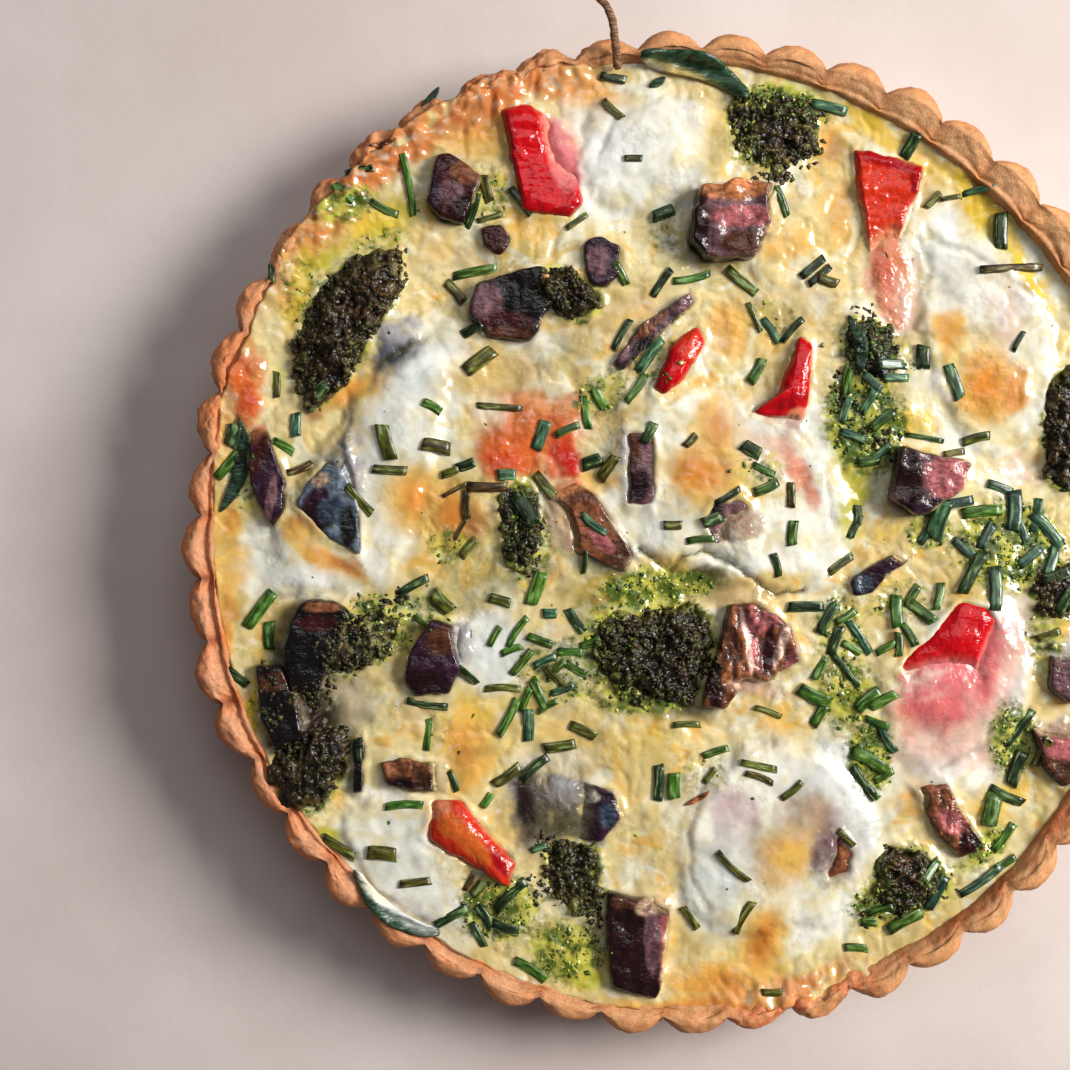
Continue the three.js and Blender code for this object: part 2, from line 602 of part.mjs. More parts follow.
const LEAF_THICKNESS = 0.7;
const LEAF_LIFT = 0.5;
const LEAF_REACH = 1.5;
const LEAF_TIP = 0.25;
const LEAVES = [
  { path: [[640, 62], [672, 66], [704, 72], [730, 84], [746, 100]], wide: 5.5, wave: 0.5 },
  { path: [[356, 868], [372, 892], [394, 912], [418, 924], [440, 930]], wide: 4, wave: 0.4 },
];
const LEAF_STATIONS = 8;

function highestUnder(x, y) {
  const around = [[0, 0], [LEAF_REACH, 0], [-LEAF_REACH, 0], [0, LEAF_REACH], [0, -LEAF_REACH]];
  return Math.max(...around.map(([dx, dy]) => topmost(x + dx, y + dy)?.z ?? 0));
}

function leafSolid({ path, wide, wave }) {
  const curve = new THREE.CatmullRomCurve3(path.map(onPlan).map(([x, y]) => new THREE.Vector3(x, y, 0)));
  const rows = [];
  for (let i = 0; i <= LEAF_STATIONS; i += 1) {
    const share = i / LEAF_STATIONS;
    const { x, y } = curve.getPointAt(share);
    const { x: tx, y: ty } = curve.getTangentAt(share);
    const half = (wide / 2) * (LEAF_TIP + (1 - LEAF_TIP) * Math.sin(Math.PI * share) ** 0.7);
    rows.push([-1, 0, 1].map((part) => {
      const px = x - part * half * ty;
      const py = y + part * half * tx;
      const ripple = wave * (1 + Math.sin(9 * share + 2 * part));
      return [px, py, highestUnder(px, py) + LEAF_LIFT + ripple];
    }));
  }
  const under = rows.flat();
  const points = [...under, ...under.map(([x, y, z]) => [x, y, z + LEAF_THICKNESS])];
  const faces = [];
  const top = under.length;
  const quad = (a, b, c, d) => faces.push([a, b, c], [a, c, d]);
  for (let i = 0; i < LEAF_STATIONS; i += 1) {
    for (let j = 0; j < 2; j += 1) {
      const a = 3 * i + j;
      quad(top + a, top + a + 3, top + a + 4, top + a + 1);
      faces.push([a, a + 4, a + 3], [a, a + 1, a + 4]);
    }
    const edge = 3 * i;
    quad(edge, edge + 3, top + edge + 3, top + edge);
    quad(edge + 2, top + edge + 2, top + edge + 5, edge + 5);
  }
  const end = 3 * LEAF_STATIONS;
  for (let j = 0; j < 2; j += 1) {
    quad(j, top + j, top + j + 1, j + 1);
    quad(end + j, end + j + 1, top + end + j + 1, top + end + j);
  }
  return solidOf(closedMesh(points, faces));
}

LEAVES.forEach((leaf, i) => {
  nodes.push({ name: `leaf_0${i + 1}`, kind: 'leaf', solid: leafSolid(leaf) });
});

// The dried stalk that lies on the filling, crosses the rim and curls up past it

const STALK_RADIUS = 1;
const STALK_FLATNESS = 0.7;
const STALK_SIDES = 6;
const STALK_STEPS = 12;
const STALK_PATH = [
  [[617, 72], 27.6], [[615, 60], 30.4], [[613, 48], 32], [[611, 34], 33],
  [[604, 20], 34.5], [[594, 10], 36], [[600, -2], 37.5],
];

function stalkSolid() {
  const path = new THREE.CatmullRomCurve3(STALK_PATH.map(([place, z]) => {
    const [x, y] = onPlan(place);
    return new THREE.Vector3(x, y, z);
  }));
  const section = new THREE.Shape(Array.from({ length: STALK_SIDES }, (_, i) => {
    const turn = (2 * Math.PI * i) / STALK_SIDES;
    return new THREE.Vector2(STALK_RADIUS * Math.cos(turn), STALK_FLATNESS * STALK_RADIUS * Math.sin(turn));
  }));
  return solidOf(new THREE.ExtrudeGeometry(section, { steps: STALK_STEPS, extrudePath: path }));
}

nodes.push({ name: 'stalk', kind: 'stalk', solid: stalkSolid() });

// The quiche

const quiche = new THREE.Group();
nodes.forEach(({ name, kind, solid }) => {
  const mesh = new THREE.Mesh(geometryOf(solid), material(kind));
  mesh.name = name;
  quiche.add(mesh);
});

export default quiche;
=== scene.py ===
# The looks of a pepper and feta quiche: fluted pastry, baked custard with melted cheese, roast
# aubergine and red pepper, herb pesto, leaves, a dried stalk and cut chives.
# Lengths are in millimetres until add_piece turns them into metres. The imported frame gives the
# pieces' places. Places read off the picture are its pixels, across and down, and go through place().

import math

import bmesh
import bpy
import numpy as np
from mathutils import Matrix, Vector
from mathutils.bvhtree import BVHTree


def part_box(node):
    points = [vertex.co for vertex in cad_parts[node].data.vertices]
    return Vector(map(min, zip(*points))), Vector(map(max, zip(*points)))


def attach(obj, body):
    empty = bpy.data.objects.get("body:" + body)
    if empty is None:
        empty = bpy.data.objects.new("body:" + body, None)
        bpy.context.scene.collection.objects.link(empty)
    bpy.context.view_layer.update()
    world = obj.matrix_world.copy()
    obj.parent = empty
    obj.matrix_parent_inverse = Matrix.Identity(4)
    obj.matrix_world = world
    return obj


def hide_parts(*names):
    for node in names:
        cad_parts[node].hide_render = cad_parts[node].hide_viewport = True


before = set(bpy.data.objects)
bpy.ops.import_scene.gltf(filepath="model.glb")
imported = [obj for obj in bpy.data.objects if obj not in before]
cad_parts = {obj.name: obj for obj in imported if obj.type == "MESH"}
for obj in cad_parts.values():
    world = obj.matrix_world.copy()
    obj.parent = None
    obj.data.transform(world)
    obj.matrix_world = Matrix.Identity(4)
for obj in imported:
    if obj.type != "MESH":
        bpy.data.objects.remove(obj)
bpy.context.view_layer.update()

MM = 0.001
BODY = "root"

# A pixel of the picture in millimetres, and the pixel over the middle of the case
PIXEL = 0.25
MIDDLE = (682, 534)

# Where the search for what lies below a place starts, and where it goes
RAY_START = 60
DOWN = Vector((0, 0, -1))

# Points of a CAD mesh closer than this, in metres, are one point
MERGE_DISTANCE = 1e-6

# The pastry case and the filling, as the construction has them
RIM_RADIUS = 125
BASE_RADIUS = 118
RIM_HEIGHT = 28.6
RIM_TILT = 0.9
RIM_HIGHEST = 10
FLUTES = 48
FIRST_LOBE = 46.5
RIM_FLUTE_DEPTH = 4
BASE_FLUTE_DEPTH = 2.6
LOBE_SHARPNESS = 2.2
FLOOR_THICKNESS = 3.5
WALL_LEAN = 3
RIM_WIDTH = 8
RIM_SHIFT = 1.2
FILL_LEVEL = 24.4
FILL_SLOPE = 0.008
EDGE_UPTURN = 0.7
EDGE_CALM = 0.7
EDGE_BAND = (104, 116)

# Waves along the rim: height, count, phase in degrees
RIM_WAVES = [(0.35, 5, 0), (0.25, 13, 40)]
# Waves across the filling: height, radians for each millimetre across and away, phase
WAVES = [(0.5, 0.11, 0.07, 0), (0.45, -0.05, 0.09, 1.3), (0.35, 0.21, -0.17, 2)]

# Stretches of the rim, each with its middle and half width in degrees, and how strong it is: where
# the rim bulges out, where filling ran over it, where it baked dark, and where it is wider inwards
BULGES = [(128, 20, 2), (172, 10, -1.8), (198, 9, 2.2)]
FULL_OVERFLOW = 5
OVERFLOWS = [(133, 24, FULL_OVERFLOW), (284, 13, 3.5)]
BAKED = [(115, 22, 1.3), (137, 20, 0.9), (162, 16, 0.4), (284, 14, 0.9)]
RIM_INSETS = [(45, 50, 2.3), (350, 50, 1.6), (182, 40, 1.8), (228, 35, 1)]

# Sides of the rim, each with its middle and half width in degrees: the wide orange kind, a high
# inner slope, shade on that slope, and filling that climbs on it
ORANGE_SIDE = (195, 85)
RAISED_SIDE = (30, 90)
SHADED_SIDE = (318, 40)
CLIMBED_SIDE = (15, 110)


# Numbers and noise

LATTICE_SIZE = 48
LATTICE_START = 500.37
# The power that makes a baked or an orange stretch of the rim strong nearly to its ends
STRETCH_FADE = 0.6


def place(across, down):
    """The place in millimetres of a pixel of the picture."""
    return np.array([(across - MIDDLE[0]) * PIXEL, (MIDDLE[1] - down) * PIXEL])


def ramp(value, low, high):
    """A smooth step from 0 at `low` to 1 at `high`."""
    share = np.clip((value - low) / (high - low), 0, 1)
    return share * share * (3 - 2 * share)


def blend(first, second, share):
    share = np.asarray(share)[..., None]
    return np.asarray(first) * (1 - share) + np.asarray(second) * share


def layered(colour, layers):
    """The colour under layers of (tone, share), laid one over another."""
    for tone, share in layers:
        colour = blend(colour, tone, share)
    return colour


def turned(u, v, turn):
    """The directions u and v, turned by `turn` radians."""
    cos, sin = math.cos(turn), math.sin(turn)
    return u * cos - v * sin, u * sin + v * cos


def lattice(points, cell, seed):
    """Smooth noise from -1 to 1, with features about `cell` millimetres across."""
    table = np.random.default_rng(seed).uniform(-1, 1, (LATTICE_SIZE,) * 3)
    spot = points / cell + LATTICE_START
    corner = np.floor(spot).astype(int)
    part = spot - corner
    part = part * part * (3 - 2 * part)
    total = 0
    for step in np.ndindex(2, 2, 2):
        share = np.prod(np.where(step, part, 1 - part), axis=1)
        total = total + share * table[tuple(((corner + step) % LATTICE_SIZE).T)]
    return total


def fractal(points, cell, seed, octaves=3):
    return sum(lattice(points, cell / 2 ** i, seed + i) / 2 ** i for i in range(octaves))


def on_plane(x, y):
    return np.stack([x, y, np.zeros_like(x)], axis=1)


def bump(angle, middle, half_width):
    """1 at the middle of a stretch, falling to 0 at its ends; in degrees."""
    away = np.abs((angle - middle + 540) % 360 - 180) / half_width
    return np.where(away < 1, 0.5 + 0.5 * np.cos(np.pi * np.minimum(away, 1)), 0)


def bumps(rows, angle):
    return sum(out * bump(angle, middle, half_width) for middle, half_width, out in rows)


def scorch_at(angle):
    """How darkly the rim is baked there."""
    return np.minimum(bumps(BAKED, angle), 1)


# The case and the filling as functions of the angle in degrees or of the place

def left_share(angle):
    """How far the rim is of the wide orange kind that the left side has."""
    return bump(angle, *ORANGE_SIDE)


def lobe(angle):
    """1 in the middle of a flute's lobe and 0 in the crease between two."""
    turn = (angle - FIRST_LOBE) * FLUTES / 360 + 0.5
    across = 2 * (turn - np.floor(turn)) - 1
    return 1 - np.abs(across) ** LOBE_SHARPNESS


def rim_radius(angle):
    return RIM_RADIUS + bumps(BULGES, angle) - RIM_FLUTE_DEPTH * (1 - lobe(angle))


def base_radius(angle):
    return BASE_RADIUS - BASE_FLUTE_DEPTH * (1 - lobe(angle))


def rim_height(angle):
    wave = sum(high * np.sin(np.radians(count * angle + phase)) for high, count, phase in RIM_WAVES)
    return RIM_HEIGHT + RIM_TILT * np.cos(np.radians(angle - RIM_HIGHEST)) + wave


def fill_radius(angle):
    return RIM_RADIUS - RIM_WIDTH - RIM_SHIFT * np.cos(np.radians(angle))


def edge_radius(angle):
    """Where the rim's inner slope meets the filling."""
    return fill_radius(angle) - bumps(RIM_INSETS, angle)


def surface(x, y):
    """The level of the plain custard."""
    waves = sum(high * np.sin(u * x + v * y + phase) for high, u, v, phase in WAVES)
    edge = ramp(np.hypot(x, y), *EDGE_BAND)
    return FILL_LEVEL - FILL_SLOPE * x + waves * (1 - EDGE_CALM * edge) + EDGE_UPTURN * edge


# Meshes

def normals_of(points, faces):
    a, b, c = (points[faces[:, k]] for k in range(3))
    across = np.cross(b - a, c - a)
    total = np.zeros_like(points)
    for k in range(3):
        for axis in range(3):
            total[:, axis] += np.bincount(faces[:, k], across[:, axis], len(points))
    return total / np.maximum(np.linalg.norm(total, axis=1, keepdims=True), 1e-9)


def add_piece(name, points, faces, material, replaced=(), attributes=None):
    mesh = bpy.data.meshes.new(name)
    mesh.from_pydata((points * MM).tolist(), [], faces.tolist())
    mesh.polygons.foreach_set("use_smooth", np.ones(len(mesh.polygons), bool))
    for key, values in (attributes or {}).items():
        layer = mesh.color_attributes.new(key, "FLOAT_COLOR", "POINT")
        rgba = np.ones((len(points), 4))
        rgba[:, :values.shape[1]] = values
        layer.data.foreach_set("color", rgba.ravel())
    mesh.materials.append(material)
    mesh.update()
    piece = bpy.data.objects.new(name, mesh)
    bpy.context.collection.objects.link(piece)
    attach(piece, BODY)
    if replaced:
        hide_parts(*replaced)


def strips(first, second, count):
    """Triangles between two rings of `count` points that start at those indices."""
    i = np.arange(count)
    after = (i + 1) % count
    return np.concatenate([
        np.stack([first + i, first + after, second + after], axis=1),
        np.stack([first + i, second + after, second + i], axis=1),
    ])


def fan(centre, first, count, upward):
    """Triangles that close a ring with a point in its middle."""
    i = np.arange(count)
    after = (i + 1) % count
    pair = (i, after) if upward else (after, i)
    return np.stack([np.full(count, centre), first + pair[0], first + pair[1]], axis=1)


def disc(rings):
    """A unit disc whose ring k has 6k points: their share of the radius and angle, and triangles."""
    shares, angles, faces = [np.zeros(1)], [np.zeros(1)], []
    for ring in range(1, rings + 1):
        i = np.arange(6 * ring)
        shares.append(np.full(6 * ring, ring / rings))
        angles.append(60 * i / ring)
        start = 1 + 3 * ring * (ring - 1)
        before = 1 + 3 * (ring - 1) * (ring - 2) if ring > 1 else 0
        sector, within = i // ring, i % ring
        lap = max(6 * (ring - 1), 1)
        inner = before + (sector * (ring - 1) + within) % lap
        inner_next = before + (sector * (ring - 1) + within + 1) % lap
        outer, outer_next = start + i, start + (i + 1) % (6 * ring)
        faces.append(np.stack([inner, outer, outer_next], axis=1))
        keep = within < ring - 1
        faces.append(np.stack([inner, outer_next, inner_next], axis=1)[keep])
    return np.concatenate(shares), np.concatenate(angles), np.concatenate(faces)


class Ground:
    """What is laid so far, for setting the next pieces down on it."""

    def __init__(self):
        self.points = []
        self.faces = []
        self.tree = None

    def add(self, points, faces):
        self.faces.append(faces + sum(map(len, self.points)))
        self.points.append(points)
        self.tree = None

    def height(self, x, y, otherwise=FILL_LEVEL):
        if self.tree is None:
            self.tree = BVHTree.FromPolygons(
                np.concatenate(self.points).tolist(), np.concatenate(self.faces).tolist()
            )
        hits = [self.tree.ray_cast(Vector((px, py, RAY_START)), DOWN)[0] for px, py in zip(x, y)]
        return np.array([hit.z if hit else otherwise for hit in hits])


ground = Ground()


# Node graphs

# A noise of scale 1 has features this many metres across
NOISE_SPAN = 0.6
# The sockets of a mix node that take two colours and give one
MIX_FIRST, MIX_SECOND, MIX_RESULT = 6, 7, 2


class Graph:
    """A material and short ways to add nodes to it."""

    def __init__(self, name):
        self.material = bpy.data.materials.new(name)
        self.material.use_nodes = True
        self.nodes = self.material.node_tree.nodes
        self.links = self.material.node_tree.links
        self.shader = self.nodes["Principled BSDF"]
        self.spot = self.node("ShaderNodeTexCoord").outputs["Object"]

    def node(self, kind, inputs=(), **settings):
        made = self.nodes.new(kind)
        for key, value in settings.items():
            setattr(made, key, value)
        for key, value in dict(inputs).items():
            self.feed(made.inputs[key], value)
        return made

    def feed(self, socket, value):
        if isinstance(value, bpy.types.NodeSocket):
            self.links.new(value, socket)
        elif socket.type == "RGBA" and len(value) == 3:
            socket.default_value = (*value, 1)
        else:
            socket.default_value = value

    def set(self, **values):
        for key, value in values.items():
            self.feed(self.shader.inputs[key.replace("_", " ")], value)

    def noise(self, size, detail=3, roughness=0.55, distortion=0.0, stretch=None, where=None):
        """Noise from 0 to 1 with features about `size` millimetres across."""
        where = where or self.spot
        if stretch:
            turn, factor = stretch
            where = self.node("ShaderNodeMapping", {
                "Vector": where, "Rotation": (0, 0, math.radians(-turn)), "Scale": factor,
            }).outputs[0]
        return self.node("ShaderNodeTexNoise", {
            "Vector": where, "Scale": NOISE_SPAN / (size * MM), "Detail": detail,
            "Roughness": roughness, "Distortion": distortion,
        }).outputs["Fac"]

    def math(self, operation, first, second=0.0):
        made = self.node("ShaderNodeMath", operation=operation)
        self.feed(made.inputs[0], first)
        self.feed(made.inputs[1], second)
        return made.outputs[0]

    def step(self, value, low, high, bottom=0.0, top=1.0):
        """A smooth step from `bottom` where the value is `low` to `top` where it is `high`."""
        return self.node("ShaderNodeMapRange", {
            "Value": value, "From Min": low, "From Max": high, "To Min": bottom, "To Max": top,
        }, interpolation_type="SMOOTHSTEP").outputs["Result"]

    def mix(self, first, second, share, blend_type="MIX"):
        made = self.node("ShaderNodeMix", data_type="RGBA", blend_type=blend_type)
        self.feed(made.inputs["Factor"], share)
        self.feed(made.inputs[MIX_FIRST], first)
        self.feed(made.inputs[MIX_SECOND], second)
        return made.outputs[MIX_RESULT]

    def attribute(self, name):
        return self.node("ShaderNodeAttribute", attribute_name=name).outputs["Color"]

    def shaded(self, colour, factor):
        """The colour times a number."""
        grey = self.node("ShaderNodeCombineColor", {"Red": factor, "Green": factor, "Blue": factor})
        return self.mix(colour, grey.outputs[0], 1.0, "MULTIPLY")

    def channels(self, name):
        split = self.node("ShaderNodeSeparateColor", {"Color": self.attribute(name)})
        return split.outputs[0], split.outputs[1], split.outputs[2]

    def relief(self, height, distance):
        """Relief that is `distance` millimetres high where the height is 1."""
        bumped = self.node("ShaderNodeBump", {"Height": height, "Distance": distance * MM, "Strength": 1.0})
        self.feed(self.shader.inputs["Normal"], bumped.outputs[0])

    def scatter(self, weight, radii):
        """Light that goes in and comes out up to `radii` millimetres away, for red, green and blue."""
        self.set(Subsurface_Weight=weight, Subsurface_Radius=[radius * MM for radius in radii])
        self.set(Subsurface_Scale=1.0)


# Camera, light and floor

CAMERA_PIXEL = (535, 535)
CAMERA_RISE = 367.5
VIEW_DEGREES = 40
NEAREST_SEEN = 0.01

# Lights: name, direction, elevation, distance and size in metres, watts, colour
LIGHTS = [
    ("window", 14, 37, 1.1, 0.42, 16, (1, 0.975, 0.94)),
    ("sky", 75, 60, 1.3, 0.8, 3.2, (0.95, 0.97, 1)),
]
ROOM_COLOUR = (0.95, 0.96, 1, 1)
ROOM_STRENGTH = 0.09
FLOOR_DARK = (0.7, 0.6, 0.56)
FLOOR_LIGHT = (0.79, 0.71, 0.67)
FLOOR_HALF = 2.0


def make_camera():
    camera = bpy.data.cameras.new("camera")
    camera.angle = math.radians(VIEW_DEGREES)
    camera.clip_start = NEAREST_SEEN
    holder = bpy.data.objects.new("camera", camera)
    x, y = place(*CAMERA_PIXEL)
    holder.location = (x * MM, y * MM, (FILL_LEVEL + CAMERA_RISE) * MM)
    bpy.context.collection.objects.link(holder)
    bpy.context.scene.camera = holder


def make_light(name, direction, elevation, away, size, watts, colour):
    """A square soft light `away` metres from the middle, at that compass direction and elevation."""
    light = bpy.data.lights.new(name, "AREA")
    light.size = size
    light.energy = watts
    light.color = colour
    holder = bpy.data.objects.new(name, light)
    turn, rise = math.radians(direction), math.radians(elevation)
    where = Vector((math.cos(rise) * math.cos(turn), math.cos(rise) * math.sin(turn), math.sin(rise)))
    holder.location = away * where
    holder.rotation_euler = where.to_track_quat("Z", "Y").to_euler()
    bpy.context.collection.objects.link(holder)


def make_surroundings():
    for row in LIGHTS:
        make_light(*row)
    world = bpy.data.worlds.new("room")
    world.use_nodes = True
    background = world.node_tree.nodes["Background"]
    background.inputs["Color"].default_value = ROOM_COLOUR
    background.inputs["Strength"].default_value = ROOM_STRENGTH
    bpy.context.scene.world = world
    bpy.context.scene.view_settings.view_transform = "Standard"


def make_floor():
    graph = Graph("floor")
    cloud = graph.noise(60, detail=5)
    colour = graph.mix(FLOOR_DARK, FLOOR_LIGHT, graph.step(cloud, 0.35, 0.65))
    graph.set(Base_Color=colour, Roughness=0.75)
    graph.relief(graph.noise(1.2, detail=2), 0.05)
    mesh = bpy.data.meshes.new("floor")
    signs = [(-1, -1), (1, -1), (1, 1), (-1, 1)]
    mesh.from_pydata([(FLOOR_HALF * u, FLOOR_HALF * v, 0) for u, v in signs], [], [(0, 1, 2, 3)])
    mesh.materials.append(graph.material)
    floor = bpy.data.objects.new("floor", mesh)
    bpy.context.collection.objects.link(floor)


# The pastry case

# Points for each flute, rings for each stretch between knots, and the number of the last knot
CRUST_STEPS = 20
CRUST_FINENESS = 6
LAST_KNOT = 12
# How unlike the flutes are, outwards and in height, and how far an overflow presses the rim down
FLUTE_JITTER = (0.5, 0.4)
OVERFLOW_DIP = 1.3
# How far below the crest the outer wall ends
RIM_DEPTH = 4
RED_FLUTES = (222, 378, 22, 44, 0)
PASTRY = {
    "pale": (0.76, 0.37, 0.15), "tan": (0.64, 0.26, 0.085), "brown": (0.42, 0.13, 0.03),
    "sand": (0.78, 0.41, 0.18), "orange": (0.7, 0.18, 0.04), "pink": (0.82, 0.37, 0.19),
    "dark": (0.16, 0.03, 0.008), "salmon": (0.8, 0.33, 0.13), "scorched": (0.5, 0.09, 0.02),
}
FRECKLE = (0.34, 0.13, 0.035)


def crust_knots(angle, jitter):
    """The section's points from the foot of the wall over the rim to the floor, as (radius, height)."""
    full = lobe(angle)
    crease = 1 - full
    zero = 0 * angle
    over = bumps(OVERFLOWS, angle) / FULL_OVERFLOW
    rim = rim_radius(angle) + FLUTE_JITTER[0] * jitter[0] * full
    height = rim_height(angle) + FLUTE_JITTER[1] * jitter[1] * full - OVERFLOW_DIP * over
    base = base_radius(angle)
    inner = edge_radius(angle)
    crest = rim - 0.8 - 2.5 * full
    raised = np.maximum(left_share(angle), bump(angle, *RAISED_SIDE))
    return [
        (base - 1.2, zero),
        (base, 0.9 + zero),
        (base + 0.36 * (rim - base), 0.34 * (height - RIM_DEPTH)),
        (base + 0.7 * (rim - base), 0.68 * (height - RIM_DEPTH)),
        (rim, height - 4.1),
        (rim - 0.3 - 0.2 * crease, height - 2.3),
        (rim - 1.2, height - 0.95 - 0.7 * crease),
        (crest, height - 0.9 * crease),
        (crest - 1.2, height - 0.2 - 1.3 * crease),
        (inner + 1.9 + 0.4 * (crest - inner) * full, height - 0.7 - 1.2 * crease),
        (inner + 1.2 + 0.2 * (crest - inner) * full, height - 1.9 - 0.6 * crease + 0.2 * raised),
        (inner + 0.2, FILL_LEVEL - 1.4 + 2.2 * raised),
        (fill_radius(angle) - WALL_LEAN, zero + FLOOR_THICKNESS),
    ]


def smooth_through(knots, fineness):
    """Catmull-Rom rings through the knots, each an array of (radius, height)."""
    knots = np.array(knots).transpose(0, 2, 1)
    padded = np.concatenate([knots[:1], knots, knots[-1:]])
    rings = []
    for k in range(len(knots) - 1):
        before, start, end, after = padded[k:k + 4]
        for share in np.arange(fineness) / fineness:
            rings.append(0.5 * (
                2 * start + (end - before) * share
                + (2 * before - 5 * start + 4 * end - after) * share ** 2
                + (3 * start - before - 3 * end + after) * share ** 3
            ))
    return np.array(rings + [knots[-1]])


def crust_paint(angle, along, points):
    """The baked colour, with painted light and shade on the rim: `along` is 0 at the foot, 7 on the crest
    and 10 at the filling.
    """
    full = lobe(angle)
    left = left_share(angle) ** STRETCH_FADE
    grain = fractal(points, 5, 31)
    fine = fractal(points, 1.2, 35)
    # The crest is paler than the outer wall: partly the pastry's own colour, partly painted light on the
    # crest and painted shade on the wall
    ridge = blend(PASTRY["tan"], PASTRY["orange"], left)
    hollow = blend(PASTRY["sand"], PASTRY["pink"], 0.85 * left)
    wall = blend(ridge, PASTRY["brown"], ramp(grain, 0, 1.2) * 0.6)
    crest = blend(PASTRY["pale"], PASTRY["pink"], left)
    crest = blend(crest, PASTRY["orange"], (0.2 + 0.5 * left) * ramp(grain, -0.5, 0.8))
    # Painted shade in the creases between the flutes
    crease = ramp(full, 0.5, 0.05) * ramp(along, 10, 8)
    corner_shade = ramp(along, 9, 10) * ramp(along, 11.5, 10.8) * ramp(grain, -0.8, 0.6)
    shade = bump(angle, *SHADED_SIDE) * ramp(along, 8, 9.5) * ramp(grain, -0.8, 0.4)
    upper = ramp(along, 4, 6)
    over = scorch_at(angle) ** STRETCH_FADE * upper
    colour = layered(wall, [
        (crest, ramp(along + 0.5 * grain, 5.2, 6.8)),
        (blend(ridge, hollow, full), ramp(along + 0.35 * grain, 7.2, 8.6)),
        # painted shade in the creases between the flutes
        (PASTRY["dark"], (0.3 + 0.4 * left) * crease),
        # painted shade where the inner slope meets the filling
        (PASTRY["brown"], 0.5 * corner_shade),
        # painted shade on the inner slope at the lower right, in the scorched tone
        (PASTRY["scorched"], 0.6 * shade),
        (PASTRY["brown"], 0.5 * ramp(fine, 0.4, 1.1) * upper),
        (PASTRY["brown"], 0.45 * ramp(along, 2.5, 0.5)),
        (TONES["peach"], patch(points, RED_FLUTES, wobble_at(points, 37)) * upper),
        (PASTRY["salmon"], over * ramp(grain, -1.2, 0)),
        (PASTRY["scorched"], 0.9 * over * ramp(fine + grain, 0.1, 1)),
    ])
    return colour * (1 + 0.14 * fine + 0.12 * grain)[:, None]


def crust_mesh():
    """The case's points and triangles, and where each point is along the section and around."""
    count = FLUTES * CRUST_STEPS
    angle = 360 * np.arange(count) / count
    flute = np.floor((angle - FIRST_LOBE) * FLUTES / 360 + 0.5).astype(int) % FLUTES
    jitter = np.random.default_rng(3).uniform(-1, 1, (2, FLUTES))[:, flute]
    rings = smooth_through(crust_knots(angle, jitter), CRUST_FINENESS)
    turn = np.radians(angle)
    radius, height = rings[..., 0], rings[..., 1]
    points = np.stack([radius * np.cos(turn), radius * np.sin(turn), height], axis=2).reshape(-1, 3)
    levels = len(rings)
    faces = [strips(level * count, (level + 1) * count, count) for level in range(levels - 1)]
    along = np.repeat(np.arange(levels) / CRUST_FINENESS, count)
    around = np.tile(angle, levels)
    points = np.concatenate([points, [[0, 0, 0], [0, 0, FLOOR_THICKNESS]]])
    along = np.append(along, [0, LAST_KNOT])
    around = np.append(around, [0, 0])
    last = (levels - 1) * count
    faces += [fan(len(points) - 2, 0, count, False), fan(len(points) - 1, last, count, True)]
    faces = np.concatenate(faces)
    free = ramp(along, 0.8, 2) * ramp(along, 11.8, 10.5)
    rugged = 1.3 + 0.7 * left_share(around) + 2.6 * scorch_at(around)
    rough = rugged * (0.22 * fractal(points, 4, 21) + 0.13 * fractal(points, 1.3, 25, 2))
    points = points + normals_of(points, faces) * (free * rough)[:, None]
    return points, faces, along, around


def pastry_material():
    graph = Graph("pastry")
    grain = graph.noise(0.5, detail=4, roughness=0.7)
    freckle = graph.step(graph.noise(1.6, detail=3), 0.56, 0.7)
    colour = graph.mix(graph.attribute("paint"), FRECKLE, graph.math("MULTIPLY", freckle, 0.2))
    shade = graph.step(grain, 0.3, 0.7, 0.86, 1.14)
    graph.set(Base_Color=graph.shaded(colour, shade), Roughness=0.62)
    graph.scatter(0.08, (1.2, 0.6, 0.3))
    graph.relief(graph.math("ADD", grain, graph.noise(0.22, detail=2)), 0.16)
    return graph.material


def make_crust():
    points, faces, along, around = crust_mesh()
    paint = crust_paint(around, along, points)
    ground.add(points, faces)
    add_piece("pastry_case", points, faces, pastry_material(), ["crust"], {"paint": paint})


# Outlines of the pieces set into the filling, read from the frame

# How far above a solid's foot its outline is read, and the spacing of the outline's points
SECTION_RISE = 0.03
RING_SPACING = 0.5
# Where a solid's top is felt, as shares of its reach and degrees, and its height if nothing is hit
TOP_SHARES = (0, 0.2, 0.4)
TOP_TURNS = (0, 60, 120, 180, 240, 300)
USUAL_HEIGHT = 4
# The size of each kind's foot against its widest outline
FOOT_SHARE = {"aubergine": 0.9, "pepper": 0.95, "pesto": 0.94, "cheese": 0.95}


def section(node, level):
    """The longest loop where a node's mesh meets a level in millimetres, as points (x, y)."""
    mesh = bmesh.new()
    mesh.from_mesh(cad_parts[node].data)
    bmesh.ops.remove_doubles(mesh, verts=mesh.verts, dist=MERGE_DISTANCE)
    everything = mesh.verts[:] + mesh.edges[:] + mesh.faces[:]
    bmesh.ops.bisect_plane(
        mesh, geom=everything, plane_co=(0, 0, level * MM), plane_no=(0, 0, 1),
        clear_inner=True, clear_outer=True,
    )
    mesh.verts.index_update()
    loops, seen = [], set()
    for start in mesh.verts:
        loop, here = [], start if start.index not in seen else None
        while here is not None and here.index not in seen:
            seen.add(here.index)
            loop.append((here.co.x / MM, here.co.y / MM))
            ahead = [edge.other_vert(here) for edge in here.link_edges]
            here = next((vert for vert in ahead if vert.index not in seen), None)
        if loop:
            loops.append(np.array(loop))
    mesh.free()
    return max(loops, key=lambda loop: np.ptp(loop[:, 0]) * np.ptp(loop[:, 1]))


